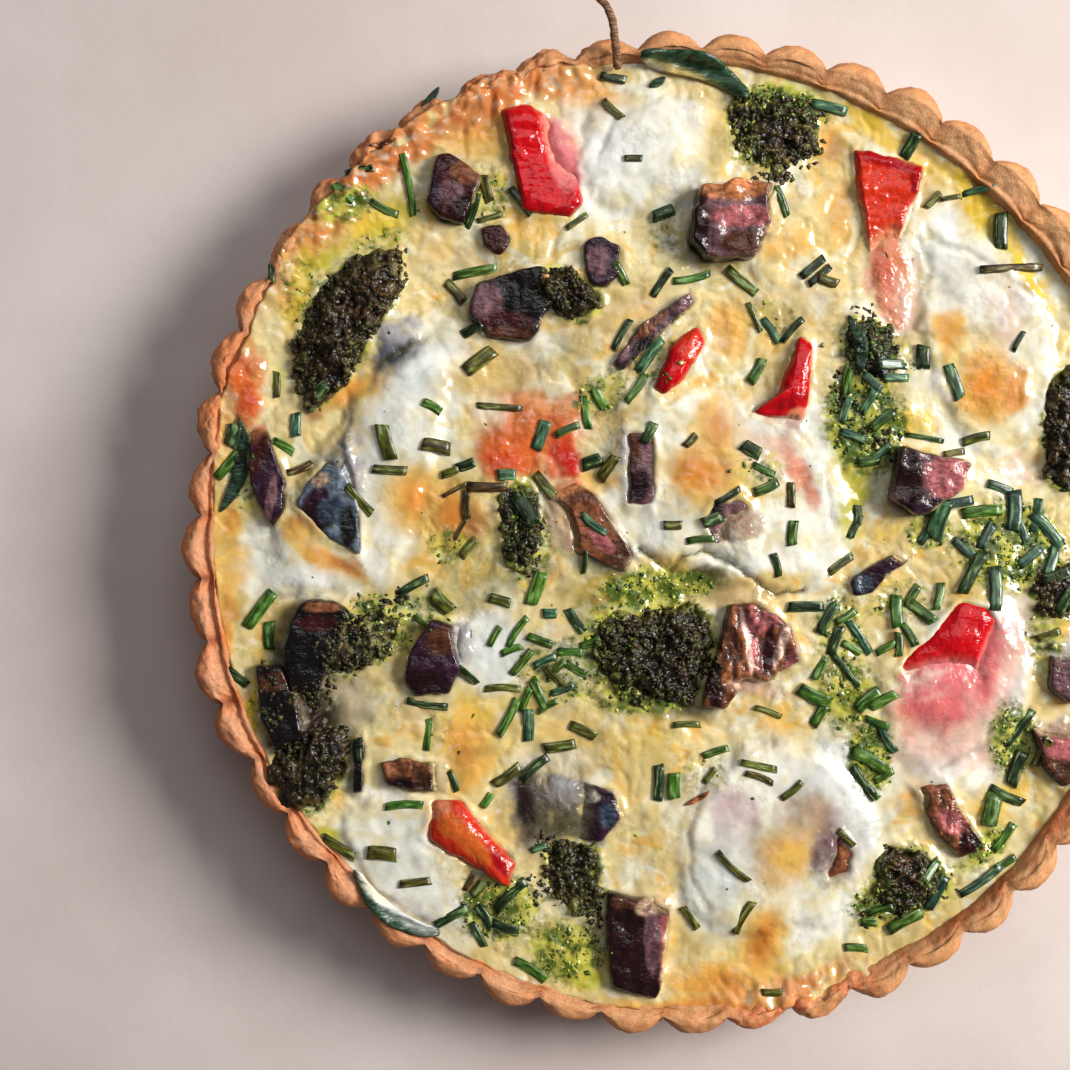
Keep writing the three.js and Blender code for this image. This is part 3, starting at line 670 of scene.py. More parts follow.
def resampled(ring, spacing):
    """The ring with points about `spacing` millimetres apart, and 12 at least."""
    closed = np.concatenate([ring, ring[:1]])
    along = np.append(0, np.cumsum(np.hypot(*np.diff(closed, axis=0).T)))
    count = max(12, round(along[-1] / spacing))
    at = along[-1] * np.arange(count) / count
    return np.stack([np.interp(at, along, closed[:, axis]) for axis in range(2)], axis=1)


def area_of(ring):
    after = np.roll(ring, -1, axis=0)
    return 0.5 * np.sum(ring[:, 0] * after[:, 1] - after[:, 0] * ring[:, 1])


class Outline:
    """One CAD piece's plan: its ring, middle, foot level and the level of its top."""

    def __init__(self, node):
        kind, number = node.split("_")
        low, _ = np.array(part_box(node)) / MM
        ring = section(node, low[2] + SECTION_RISE)
        if area_of(ring) < 0:
            ring = ring[::-1]
        ring = resampled(ring, RING_SPACING)
        self.node = node
        self.number = int(number)
        self.middle = ring.mean(axis=0)
        self.ring = self.middle + (ring - self.middle) / FOOT_SHARE[kind]
        self.foot = low[2]
        self.top = self.cad_top()

    def cad_top(self):
        """The usual level of the solid's top near its middle."""
        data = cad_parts[self.node].data
        tree = BVHTree.FromPolygons([v.co / MM for v in data.vertices], [p.vertices for p in data.polygons])
        tops = []
        for share in TOP_SHARES:
            for turn in np.radians(TOP_TURNS):
                ahead = np.array([math.cos(turn), math.sin(turn)])
                x, y = self.middle + share * self.reach(turn) * ahead
                hit = tree.ray_cast(Vector((x, y, RAY_START)), DOWN)[0]
                tops += [hit.z] if hit else []
        return float(np.median(tops)) if tops else self.foot + USUAL_HEIGHT

    def reach(self, turn):
        """How far the ring is from the middle in the directions `turn`, in radians."""
        dx, dy = (self.ring - self.middle).T
        around = np.arctan2(dy, dx)
        order = np.argsort(around)
        return np.interp(turn, around[order], np.hypot(dx, dy)[order], period=2 * math.pi)

    def share(self, x, y):
        """0 in the middle, 1 on the ring; and the distance from the ring in millimetres."""
        dx, dy = x - self.middle[0], y - self.middle[1]
        reach = self.reach(np.arctan2(dy, dx))
        away = np.hypot(dx, dy)
        return away / reach, away - reach

    def beside(self, x, y, within):
        """Which points lie within a distance of the middle, and how far those are from the ring."""
        near = np.hypot(x - self.middle[0], y - self.middle[1]) < within
        return near, self.share(x[near], y[near])[1]

    def rise(self):
        """How far the top stands above the plain custard."""
        return self.top - surface(*self.middle)


outlines = {node: Outline(node) for node in sorted(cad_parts) if node.split("_")[0] in FOOT_SHARE}


def of_kind(kind):
    return [outline for node, outline in outlines.items() if node.startswith(kind)]


# Linear red, green and blue
TONES = {
    "black": (0.006, 0.004, 0.004), "purple": (0.03, 0.01, 0.022), "maroon": (0.045, 0.008, 0.007),
    "umber": (0.09, 0.03, 0.014), "flesh": (0.24, 0.08, 0.032), "tan": (0.56, 0.19, 0.065),
    "rouge": (0.74, 0.16, 0.17), "rose": (0.46, 0.13, 0.13), "mauve": (0.17, 0.08, 0.09),
    "slate": (0.035, 0.05, 0.075), "silver": (0.34, 0.38, 0.42), "sand": (0.62, 0.48, 0.26),
    "milk": (0.86, 0.81, 0.64), "ice": (0.8, 0.83, 0.77), "butter": (0.84, 0.6, 0.17),
    "red": (0.58, 0.003, 0.007), "deep": (0.4, 0.003, 0.006), "scarlet": (0.64, 0.03, 0.008),
    "orange": (0.7, 0.13, 0.02), "pink": (0.74, 0.17, 0.16), "blush": (0.78, 0.5, 0.4),
    "coral": (0.7, 0.22, 0.11), "amber": (0.82, 0.36, 0.05), "toast": (0.76, 0.25, 0.03),
    "rust": (0.36, 0.11, 0.04), "scorched": (0.7, 0.16, 0.03), "cream": (0.78, 0.62, 0.3),
    "gold": (0.84, 0.56, 0.06), "lime": (0.54, 0.5, 0.04), "olive": (0.3, 0.27, 0.06),
    "biscuit": (0.66, 0.45, 0.19), "smoke": (0.27, 0.21, 0.14), "ash": (0.4, 0.38, 0.39),
    "lilac": (0.6, 0.42, 0.42), "fog": (0.42, 0.27, 0.18), "oil": (0.2, 0.22, 0.015),
    "salmon": (0.76, 0.29, 0.09), "peach": (0.7, 0.19, 0.055), "snow": (0.97, 0.97, 0.9),
    "shade": (0.13, 0.11, 0.085), "steel": (0.1, 0.13, 0.17), "murk": (0.07, 0.065, 0.012),
    "night": (0.018, 0.004, 0.005),
}


# Patches of colour, each (across, down, half width, half height, turn) in the picture's pixels

def wobble_at(points, seed, wide=1.3, fine=0.5):
    """How far the edges of patches stray, so that no patch is a clean ellipse."""
    flat = points * (1, 1, 0)
    return np.stack([
        wide * lattice(flat, 6, seed) + fine * fractal(flat, 1.8, seed + 3, 2),
        wide * lattice(flat, 6, seed + 7) + fine * fractal(flat, 1.8, seed + 9, 2),
    ], axis=1)


def patch(points, row, wobble, soft=0.4):
    """1 in the middle of a patch, falling to 0 across its soft edge."""
    across, down, wide, tall, turn = row
    u, v = turned(*(points[:, :2] + wobble - place(across, down)).T, -math.radians(turn))
    away = np.hypot(u / (wide * PIXEL), v / (tall * PIXEL))
    return ramp(away, 1 + soft, 1 - soft)


def patches(points, rows, wobble):
    """The strongest of several patches there; a row may end with the strength of its patch."""
    mask = np.zeros(len(points))
    for row in rows:
        strength = row[5] if len(row) > 5 else 1
        mask = np.maximum(mask, strength * patch(points, row[:5], wobble))
    return mask


# The filling: custard and melted cheese in one skin

FILL_RINGS = 176
SEEN_EDGE = 1.7
EDGE_CLIMB = 1.6
BAKED_REACH = 3.6
CHEESE_RISE = 1.8
HIGH_CHEESE = "cheese_04"
FILL_WOBBLE = 11
# How far from a piece's middle the custard minds it, and how far from its edge painted shade darkens it
TOPPING_REACH = 24
SHADE_WITHIN = 22
SHADE_REACH = 2.6
# How far under the edge the filling's side turns in, and how far it stays off the case
SIDE_DROP = 2.2
CASE_GAP = 0.3

# Patches of melted white cheese and of green oil: across, down, half width, half height, turn and,
# where it isn't 1, strength
WHITE = [
    (655, 155, 82, 62, -8), (625, 110, 50, 22, 0), (600, 200, 40, 22, -10), (690, 205, 35, 25, 0, 0.7),
    (540, 345, 34, 16, 0, 0.8), (440, 350, 40, 22, -30, 0.9), (430, 395, 34, 62, -12),
    (385, 520, 34, 70, -8), (320, 575, 70, 26, 0), (262, 560, 34, 40, 10, 0.8), (400, 440, 40, 60, 0),
    (492, 655, 36, 42, 0), (384, 832, 44, 46, 0), (430, 900, 60, 26, -20, 0.8), (350, 870, 20, 40, 30, 0.7),
    (455, 940, 30, 16, 0, 0.6), (945, 262, 34, 56, 0), (995, 300, 62, 62, 0), (1020, 380, 40, 60, 0, 0.9),
    (970, 420, 50, 40, 0, 0.8), (1000, 470, 30, 30, 0, 0.7), (925, 390, 22, 30, 0, 0.8),
    (700, 425, 60, 34, 10, 0.9), (790, 440, 60, 50, 0), (640, 520, 50, 40, 0, 0.85), (760, 540, 84, 34, 8),
    (690, 500, 40, 60, 0, 0.8), (820, 520, 30, 60, 0, 0.9), (780, 830, 100, 92, 0), (850, 790, 46, 50, 0),
    (715, 905, 40, 40, 20, 0.9), (800, 905, 70, 40, 10), (960, 720, 72, 76, 0), (1005, 640, 28, 50, 0),
    (930, 625, 36, 22, 0, 0.7), (905, 780, 24, 30, 0, 0.7), (560, 640, 30, 16, 0, 0.5),
    (640, 880, 20, 30, 0, 0.4), (880, 300, 20, 60, 5, 0.5), (700, 970, 40, 16, 0, 0.5),
    (560, 900, 20, 30, 0, 0.4), (470, 260, 30, 20, 0, 0.4),
]
GREEN = [
    (345, 205, 34, 22, 20, 0.8), (380, 240, 30, 16, 20, 0.6), (300, 290, 22, 40, -10, 0.5),
    (785, 105, 46, 18, -15), (740, 130, 16, 34, 0, 0.8), (645, 590, 44, 22, 0), (610, 640, 30, 40, 0, 0.8),
    (640, 700, 50, 14, 0, 0.7), (865, 420, 40, 56, 10), (862, 345, 26, 30, 0, 0.7),
    (900, 360, 24, 24, 0, 0.5), (1010, 545, 56, 46, 0, 0.9), (930, 530, 26, 24, 0, 0.7),
    (870, 755, 24, 40, 0, 0.9), (845, 690, 34, 40, 0, 0.7), (840, 630, 30, 40, 0, 0.6),
    (905, 895, 60, 30, 20, 0.8), (985, 850, 30, 16, 40, 0.7), (500, 905, 44, 36, 0, 0.8),
    (565, 950, 44, 34, -10, 0.8), (385, 625, 44, 34, 0, 0.7), (530, 540, 26, 54, 0, 0.6),
    (600, 395, 34, 20, 30, 0.6), (575, 670, 60, 34, 0, 0.6), (1015, 740, 26, 40, 0, 0.8),
    (255, 720, 14, 60, -15, 0.5), (245, 470, 16, 50, 0, 0.6), (490, 195, 20, 30, 0, 0.6),
    (655, 360, 30, 34, 50, 0.5), (760, 470, 26, 24, 0, 0.5), (690, 585, 30, 14, 0, 0.8),
    (430, 610, 30, 24, 0, 0.6), (450, 545, 20, 20, 0, 0.6), (1045, 640, 20, 40, 0, 0.6),
    (900, 600, 40, 24, 0, 0.5), (700, 770, 30, 20, 0, 0.4), (440, 720, 14, 26, 0, 0.4),
    (665, 230, 24, 30, 0, 0.4), (775, 320, 30, 20, 0, 0.4), (350, 860, 14, 14, 0, 0.3),
]
# Colours painted on the filling, later ones over earlier: tone, patch and, where it isn't 1, strength
TINTS = [
    ("amber", 585, 95, 34, 16, -10, 0.6), ("amber", 478, 145, 26, 14, 20, 0.6),
    ("gold", 375, 225, 34, 16, 20, 0.9), ("gold", 300, 290, 12, 50, -15, 0.9),
    ("lime", 318, 262, 14, 20, -40, 0.7), ("lime", 272, 380, 8, 16, 0, 0.7),
    ("amber", 352, 392, 24, 12, 30, 0.9), ("rust", 318, 412, 18, 8, 20, 0.5),
    ("ash", 396, 344, 26, 20, 0, 0.7), ("ice", 425, 368, 30, 26, -20, 0.9),
    ("ice", 385, 480, 22, 60, -5, 0.8), ("ash", 352, 470, 12, 50, -5, 0.7), ("amber", 425, 505, 24, 26, 0),
    ("toast", 456, 515, 22, 24, 0), ("rust", 474, 520, 10, 22, 0, 0.6),
    ("biscuit", 500, 375, 54, 28, 0, 0.7), ("olive", 562, 360, 22, 20, 0, 0.4),
    ("biscuit", 590, 320, 40, 30, 0, 0.5), ("peach", 508, 440, 34, 36, 0, 0.9),
    ("peach", 550, 410, 40, 16, -5, 0.9), ("orange", 515, 458, 26, 18, 0, 0.9),
    ("biscuit", 455, 250, 30, 14, 0, 0.6), ("gold", 715, 145, 18, 34, 0, 0.4),
    ("lime", 790, 102, 40, 14, -15, 0.9), ("lime", 735, 120, 10, 26, 0, 0.6),
    ("amber", 830, 145, 16, 20, 0, 0.8), ("gold", 880, 128, 34, 12, -35, 0.9),
    ("gold", 980, 195, 16, 40, 42, 0.8), ("gold", 1030, 275, 10, 50, 30, 0.9),
    ("amber", 842, 215, 18, 34, 0, 0.5), ("smoke", 800, 200, 14, 16, 0, 0.35),
    # The smoke and lilac patches at (955, 268) and (1000, 305) are painted shade in the white cheese
    ("smoke", 955, 268, 18, 24, -30, 0.45), ("lilac", 1000, 305, 34, 26, -20, 0.5),
    ("blush", 1000, 335, 26, 14, 0, 0.4), ("amber", 946, 335, 12, 18, 0, 0.8),
    ("amber", 984, 385, 22, 30, 0), ("coral", 1012, 392, 12, 20, 0, 0.6),
    ("gold", 915, 420, 26, 22, 0, 0.7), ("amber", 705, 470, 26, 28, 0), ("amber", 718, 425, 18, 24, 0, 0.7),
    ("toast", 703, 470, 12, 12, 0, 0.7), ("blush", 775, 450, 30, 26, 20, 0.7),
    ("coral", 802, 480, 10, 34, 25, 0.7), ("lime", 857, 485, 10, 34, 0, 0.7),
    ("amber", 728, 330, 22, 26, 0, 0.5), ("biscuit", 800, 300, 44, 34, 0, 0.4),
    ("blush", 1025, 465, 28, 20, 0, 0.5), ("smoke", 640, 335, 18, 40, -45, 0.4),
    ("coral", 892, 272, 24, 32, 5, 0.9), ("blush", 902, 312, 22, 24, 0, 0.8),
    ("amber", 232, 520, 12, 26, 0, 0.8), ("amber", 225, 600, 10, 40, 0, 0.5),
    ("toast", 300, 528, 14, 12, 0, 0.6), ("gold", 435, 535, 22, 14, 0, 0.7),
    ("olive", 458, 548, 14, 16, 0, 0.6), ("olive", 380, 640, 40, 34, 0, 0.35),
    ("ice", 490, 650, 30, 36, 0, 0.9), ("ice", 350, 700, 18, 20, 0, 0.5),
    ("amber", 466, 745, 22, 34, 0, 0.9), ("biscuit", 415, 712, 26, 26, 0, 0.6),
    ("smoke", 548, 808, 40, 40, 0, 0.8), ("shade", 528, 800, 14, 40, 0, 0.8),
    ("ice", 588, 788, 26, 12, 0, 0.5), ("ash", 522, 790, 12, 26, 0, 0.7),
    ("lime", 590, 978, 24, 12, -20, 0.9), ("olive", 560, 940, 40, 26, 0, 0.5),
    ("gold", 575, 955, 30, 20, 0, 0.7), ("ice", 415, 865, 46, 40, -20, 0.6),
    ("ash", 425, 915, 34, 10, -25, 0.5), ("lime", 325, 832, 20, 8, -30, 0.7),
    ("gold", 258, 690, 10, 64, -12, 0.9), ("olive", 265, 740, 8, 50, -20, 0.5),
    ("coral", 440, 820, 14, 18, 0, 0.5), ("ice", 662, 535, 24, 26, 0, 0.5),
    ("lime", 645, 590, 40, 18, 0, 0.8), ("amber", 610, 588, 16, 12, 0, 0.8),
    ("biscuit", 745, 592, 44, 10, 0, 0.8), ("olive", 625, 650, 30, 34, 0, 0.5),
    ("olive", 645, 702, 54, 14, 0, 0.6), ("smoke", 700, 708, 20, 12, 0, 0.6),
    ("blush", 770, 690, 34, 10, -10, 0.5), ("ice", 852, 800, 24, 60, 20, 0.9),
    ("ice", 708, 880, 24, 34, 0, 0.7), ("olive", 500, 565, 40, 30, 0, 0.5),
    ("smoke", 548, 566, 30, 30, 0, 0.45), ("olive", 405, 600, 44, 20, 0, 0.5),
    ("olive", 600, 566, 26, 16, 0, 0.5), ("olive", 470, 590, 34, 16, 0, 0.4),
    ("olive", 590, 620, 24, 40, 0, 0.6), ("murk", 668, 712, 40, 12, -10, 0.6),
    # The murk patch at (700, 576) is painted shade under the cheese's overhanging edge
    ("murk", 700, 576, 40, 8, -10, 0.8), ("olive", 1000, 545, 60, 44, 0, 0.5),
    ("murk", 340, 740, 20, 36, 10, 0.8), ("olive", 865, 420, 30, 60, 10, 0.5),
    ("gold", 984, 214, 11, 56, 42, 0.9), ("gold", 900, 152, 44, 10, -34, 0.8),
    ("lime", 1000, 244, 6, 30, 40, 0.5), ("gold", 310, 250, 26, 30, 30, 0.5),
    ("snow", 612, 150, 44, 34, 0, 0.9), ("snow", 590, 195, 26, 20, 0, 0.6),
    ("amber", 326, 556, 24, 9, -35, 0.8), ("rust", 352, 566, 14, 4, -35, 0.6),
    ("snow", 450, 360, 24, 20, 0, 0.6), ("snow", 800, 775, 40, 18, 10, 0.5),
    ("snow", 945, 235, 16, 34, 0, 0.9), ("salmon", 500, 90, 44, 14, 10, 0.8),
    ("amber", 485, 128, 30, 18, 10, 0.7), ("salmon", 360, 175, 20, 12, 40, 0.5),
    ("lime", 300, 240, 24, 14, 30, 0.6), ("butter", 420, 250, 30, 20, 0, 0.5),
    ("ash", 790, 845, 60, 46, 0, 0.4), ("snow", 846, 800, 14, 52, 16, 0.8),
    ("snow", 730, 850, 16, 50, 0, 0.5), ("lilac", 730, 806, 26, 30, 0, 0.7),
    ("fog", 812, 816, 30, 24, -30, 0.7), ("mauve", 834, 848, 26, 30, 0, 0.6),
    ("fog", 762, 850, 18, 30, 20, 0.4), ("amber", 786, 856, 24, 22, 0, 0.5),
    ("gold", 786, 858, 12, 11, 0, 0.4), ("smoke", 770, 740, 16, 10, 0, 0.5),
    ("murk", 296, 655, 16, 24, 0, 0.8), ("murk", 290, 728, 26, 20, 20, 0.9),
    ("murk", 330, 690, 14, 30, 20, 0.6), ("murk", 345, 760, 12, 30, 0, 0.7),
    ("smoke", 355, 685, 22, 30, 0, 0.3), ("sand", 352, 696, 18, 24, 20, 0.7),
    ("murk", 318, 660, 12, 24, 0, 0.7), ("lime", 330, 262, 30, 12, 30, 0.5),
    ("lime", 400, 212, 30, 16, 20, 0.4), ("gold", 520, 240, 30, 12, 0, 0.4),
    ("olive", 470, 320, 14, 20, 0, 0.3), ("butter", 470, 380, 34, 24, 0, 0.5),
    ("gold", 640, 250, 20, 16, 0, 0.4), ("butter", 560, 740, 60, 26, 0, 0.6),
    ("gold", 880, 530, 26, 12, 0, 0.5), ("murk", 1050, 600, 30, 24, 0, 0.5),
    ("gold", 905, 710, 12, 34, 0, 0.4), ("amber", 762, 945, 18, 34, -10),
    ("toast", 758, 950, 9, 18, 0, 0.5), ("amber", 725, 985, 44, 20, 0, 0.9),
    ("amber", 916, 800, 14, 16, 0, 0.6), ("lime", 850, 695, 26, 26, 0, 0.7),
    ("gold", 1005, 800, 30, 14, 40, 0.8), ("lime", 985, 850, 36, 12, 40, 0.8),
    ("olive", 905, 900, 40, 20, 20, 0.5), ("ash", 1065, 740, 20, 30, 0, 0.5),
    ("olive", 1010, 740, 22, 34, 0, 0.6), ("blush", 950, 752, 60, 24, 0, 0.7),
    ("rouge", 944, 704, 48, 30, 8), ("rouge", 990, 660, 16, 44, -14, 0.9),
    ("lilac", 1016, 655, 18, 46, -10, 0.7), ("biscuit", 655, 300, 34, 20, 0, 0.4),
    ("gold", 650, 745, 44, 26, 0, 0.3), ("biscuit", 575, 745, 44, 26, 0, 0.3),
    ("amber", 775, 245, 34, 14, 0, 0.4), ("toast", 700, 1010, 80, 9, 0, 0.8),
    ("amber", 240, 565, 14, 20, 0, 0.4), ("lime", 840, 432, 16, 44, 10, 0.5),
    ("night", 300, 660, 26, 56, 0, 0.9), ("night", 312, 716, 22, 30, 10, 0.9),
    ("night", 294, 740, 24, 36, 10, 0.9), ("toast", 224, 640, 8, 50, -8, 0.6),
    ("amber", 214, 560, 6, 60, 0, 0.4), ("toast", 214, 480, 6, 30, 0, 0.3),
    ("amber", 236, 330, 8, 36, 30, 0.6), ("toast", 258, 790, 8, 30, -35, 0.6),
    ("amber", 270, 276, 8, 30, 35, 0.6), ("snow", 570, 120, 10, 26, 10, 0.5),
    ("snow", 690, 120, 20, 24, 0, 0.5), ("butter", 720, 140, 22, 40, 0, 0.6),
    ("toast", 706, 476, 14, 16, 0, 0.8), ("toast", 984, 388, 14, 16, 0, 0.6),
    ("toast", 456, 520, 14, 16, 0, 0.7), ("snow", 400, 400, 20, 30, 0, 0.7),
    ("snow", 780, 560, 40, 14, 0, 0.6), ("snow", 930, 690, 20, 10, 0, 0.3),
    ("snow", 850, 770, 18, 34, 20, 0.7), ("snow", 300, 575, 40, 12, 0, 0.7),
    ("snow", 400, 540, 18, 18, 0, 0.6), ("snow", 940, 770, 24, 14, 0, 0.5),
    ("snow", 500, 640, 14, 14, 0, 0.7), ("snow", 300, 850, 14, 12, 0, 0.4),
    ("gold", 620, 585, 20, 10, 0, 0.7), ("gold", 665, 560, 20, 10, 0, 0.6),
    ("lime", 850, 520, 12, 26, 0, 0.7), ("gold", 480, 705, 26, 16, 0, 0.6),
    ("amber", 470, 770, 14, 16, 0, 0.7), ("gold", 540, 700, 34, 14, 0, 0.5),
]


def cheese_mounds(x, y, wobble):
    """How far the melted cheese stands above the custard."""
    height = np.zeros_like(x)
    for outline in of_kind("cheese"):
        share, _ = outline.share(x + wobble[:, 0], y + wobble[:, 1])
        rise = CHEESE_RISE * (1.3 if outline.node == HIGH_CHEESE else 1)
        mound = 0.75 * ramp(share, 1.06, 0.84) + 0.35 * ramp(share, 0.9, 0.3)
        height = np.maximum(height, rise * mound)
    return height


# Where melted cheese runs over a piece, so that only its tone shows: tone and patch
COVERS = [
    ("sand", 776, 210, 9, 30, 0), ("smoke", 630, 322, 5, 32, -50), ("ash", 619, 470, 9, 42, 0),
    ("fog", 750, 526, 30, 16, 20), ("milk", 752, 546, 26, 12, 0), ("fog", 560, 524, 12, 28, 20),
    ("ash", 360, 452, 16, 44, 12), ("ash", 400, 346, 48, 38, -10), ("ash", 468, 652, 11, 34, 10),
    ("sand", 440, 776, 8, 18, 0), ("shade", 544, 800, 44, 62, 0), ("fog", 663, 900, 12, 8, 0),
    ("steel", 338, 452, 10, 16, 0), ("blush", 772, 692, 40, 9, -15), ("sand", 905, 552, 10, 8, 0),
    ("sand", 916, 798, 10, 12, 0), ("fog", 974, 806, 8, 16, 0), ("mauve", 822, 846, 12, 24, 0),
    ("ash", 1062, 644, 26, 12, 0), ("fog", 1060, 726, 28, 9, 0), ("rouge", 573, 136, 26, 44, 12),
    ("coral", 896, 280, 34, 46, 5), ("cream", 852, 226, 12, 48, 16), ("milk", 918, 230, 15, 50, -24),
    ("milk", 926, 268, 14, 26, 0), ("blush", 780, 426, 26, 7, 0), ("peach", 504, 442, 36, 46, 0),
    ("peach", 552, 442, 46, 52, -4), ("rouge", 938, 714, 66, 48, 8), ("rouge", 1004, 668, 26, 56, -14),
    ("amber", 990, 385, 34, 38, 0), ("coral", 1122, 485, 30, 50, 0), ("peach", 244, 388, 30, 50, 0),
]
# Colours on top of what the covers show, in rows like the tints
SPOTS = [
    ("orange", 512, 450, 28, 22, 0, 0.9), ("scarlet", 562, 454, 18, 24, 0, 0.9),
    ("red", 570, 462, 8, 12, 0, 0.9), ("amber", 414, 500, 22, 28, 0, 0.8),
    ("toast", 418, 500, 16, 18, 0, 0.8), ("rust", 448, 500, 8, 20, 0, 0.6),
    ("toast", 340, 562, 34, 6, -34, 0.7), ("rust", 350, 566, 16, 4, -34, 0.6),
    ("toast", 452, 516, 16, 24, 0, 0.9), ("rust", 472, 526, 8, 18, 0, 0.7),
    ("toast", 696, 472, 24, 22, 0, 0.9), ("toast", 466, 748, 12, 20, 0, 0.5),
    ("toast", 762, 942, 12, 28, -10, 0.9), ("toast", 718, 430, 14, 18, 0, 0.7),
    ("rust", 722, 462, 5, 9, 20, 0.5), ("toast", 348, 394, 18, 8, 30, 0.6),
    ("toast", 832, 146, 10, 12, 0, 0.5), ("scarlet", 502, 462, 22, 10, 0, 0.6),
    ("milk", 484, 412, 18, 16, 30, 0.8), ("salmon", 548, 404, 40, 8, -8, 0.8),
    ("milk", 590, 430, 12, 12, 0, 0.7), ("orange", 244, 384, 18, 34, 0, 0.9),
    ("scarlet", 250, 404, 8, 14, 0, 0.6), ("salmon", 262, 372, 8, 18, 0, 0.7),
    ("slate", 392, 356, 20, 12, 30, 0.9), ("night", 400, 350, 20, 3, 35, 0.9),
    ("ice", 420, 376, 24, 14, 20, 0.8), ("steel", 384, 348, 8, 10, 0, 0.7),
    # The night patch at (524, 806) is painted shade along the mound's left edge
    ("night", 524, 806, 9, 38, 6, 0.9), ("milk", 562, 760, 40, 10, 0, 0.7),
    ("murk", 560, 822, 24, 16, 0, 0.7), ("ash", 566, 786, 16, 12, 0, 0.6),
    ("sand", 588, 770, 12, 10, 0, 0.7), ("toast", 984, 385, 17, 24, 0, 0.9),
    ("salmon", 1010, 392, 9, 22, 0, 0.8), ("blush", 1008, 668, 12, 44, -14, 0.8),
    ("blush", 950, 744, 48, 16, 0, 0.8), ("ice", 1018, 690, 10, 30, -14, 0.6),
    ("pink", 936, 716, 14, 20, 20, 0.6), ("blush", 972, 712, 10, 22, 20, 0.5),
    ("blush", 930, 696, 16, 4, 10, 0.5), ("scarlet", 886, 272, 10, 18, 10, 0.5),
    ("blush", 908, 304, 12, 26, 5, 0.8), ("snow", 586, 130, 8, 26, 10, 0.5),
    ("blush", 566, 122, 8, 12, 30, 0.5), ("umber", 372, 420, 4, 30, 0, 0.3),
    ("slate", 350, 430, 6, 24, -12, 0.7), ("murk", 690, 650, 12, 42, 0, 0.95),
    ("murk", 610, 654, 26, 28, 0, 0.8), ("murk", 650, 700, 50, 10, -6, 0.8),
    ("murk", 612, 596, 20, 10, 0, 0.6), ("night", 692, 672, 8, 20, 0, 0.8),
    ("murk", 838, 150, 8, 16, 0, 0.4), ("coral", 800, 470, 8, 20, 25, 0.8),
    # The smoke patch at (640, 300) is painted shade
    ("gold", 308, 286, 12, 34, -10, 0.6), ("smoke", 640, 300, 14, 10, 0, 0.35),
]
COVER_REACH = 4
# How much of a covered piece's height the cheese over it takes up
COVER_LIFT = {"aubergine": 0.5, "pepper": 0.3, "pesto": 0.3}
COVER_SOFTNESS = 0.4
TINT_SOFTNESS = 0.7
# Browned tones have a wider halo of butter under them, by this much and this strong
BROWNED = ("amber", "toast")
HALO_WIDTH = 1.5
HALO_STRENGTH = 0.8


def covers(points):
    """How far cheese covers what is set into the filling there, with the tone that shows through."""
    wobble = wobble_at(points, 17, 0.8, 0.4)
    share = np.zeros(len(points))
    tone = np.zeros((len(points), 3))
    for name, *row in COVERS:
        mask = patch(points, row, wobble, COVER_SOFTNESS)
        more = mask > share
        share[more] = mask[more]
        tone[more] = TONES[name]
    return share, tone


def round_toppings(x, y):
    """How far the custard climbs against the pieces, lies lower under them or runs over them, and
    how strongly a covered piece shows through."""
    flat = on_plane(x, y)
    climb, shown = np.zeros_like(x), np.zeros_like(x)
    wash = 1.1 * fractal(flat, 3, 91, 2)
    covered, _ = covers(flat)
    for kind, cover_lift in COVER_LIFT.items():
        for outline in of_kind(kind):
            near, away = outline.beside(x, y, TOPPING_REACH)
            away = away + wash[near] * (1.1 if kind == "pesto" else 0.6)
            hidden = covered[near] if kind != "pesto" else 0 * away
            rise = outline.top - surface(x[near], y[near])
            outside = 0.7 * np.exp(-(away / 1.6) ** 2)
            under = 0.7 * ramp(away, -1.6, -0.2) - 1.1 * ramp(away, -0.4, -2)
            open_lift = np.where(away > 0, outside, under)
            lift = open_lift * (1 - hidden) + cover_lift * rise * hidden * ramp(away, 3, -3)
            climb[near] = np.where(np.abs(lift) > np.abs(climb[near]), lift, climb[near])
            seen = 0.95 * ramp(hidden, 0, 0.5) * ramp(away, COVER_REACH, -1)
            shown[near] = np.maximum(shown[near], seen)
    return climb, shown


def tints(points, wobble, rows=TINTS):
    """The colour painted by such rows and how strong it is."""
    colour = np.tile(TONES["cream"], (len(points), 1))
    strength = np.zeros(len(points))
    for tone, across, down, wide, tall, turn, *rest in rows:
        full = rest[0] if rest else 1
        layers = [(tone, 1, full)]
        if tone in BROWNED:
            layers.insert(0, ("butter", HALO_WIDTH, HALO_STRENGTH * full))
        for layer, grown, amount in layers:
            row = (across, down, grown * wide, grown * tall, turn)
            share = amount * patch(points, row, wobble, TINT_SOFTNESS)
            total = share + strength * (1 - share)
            colour = blend(colour, TONES[layer], share / np.maximum(total, 1e-6))
            strength = total
    return colour, strength


def filling_tone(points):
    """Roughly the colour of the filling there, for pieces that fade into it."""
    wobble = wobble_at(points, FILL_WOBBLE)
    colour = blend(TONES["cream"], TONES["milk"], patches(points, WHITE, wobble))
    colour = blend(colour, *tints(points, wobble))
    return blend(colour, TONES["oil"], 0.7 * patches(points, GREEN, wobble))


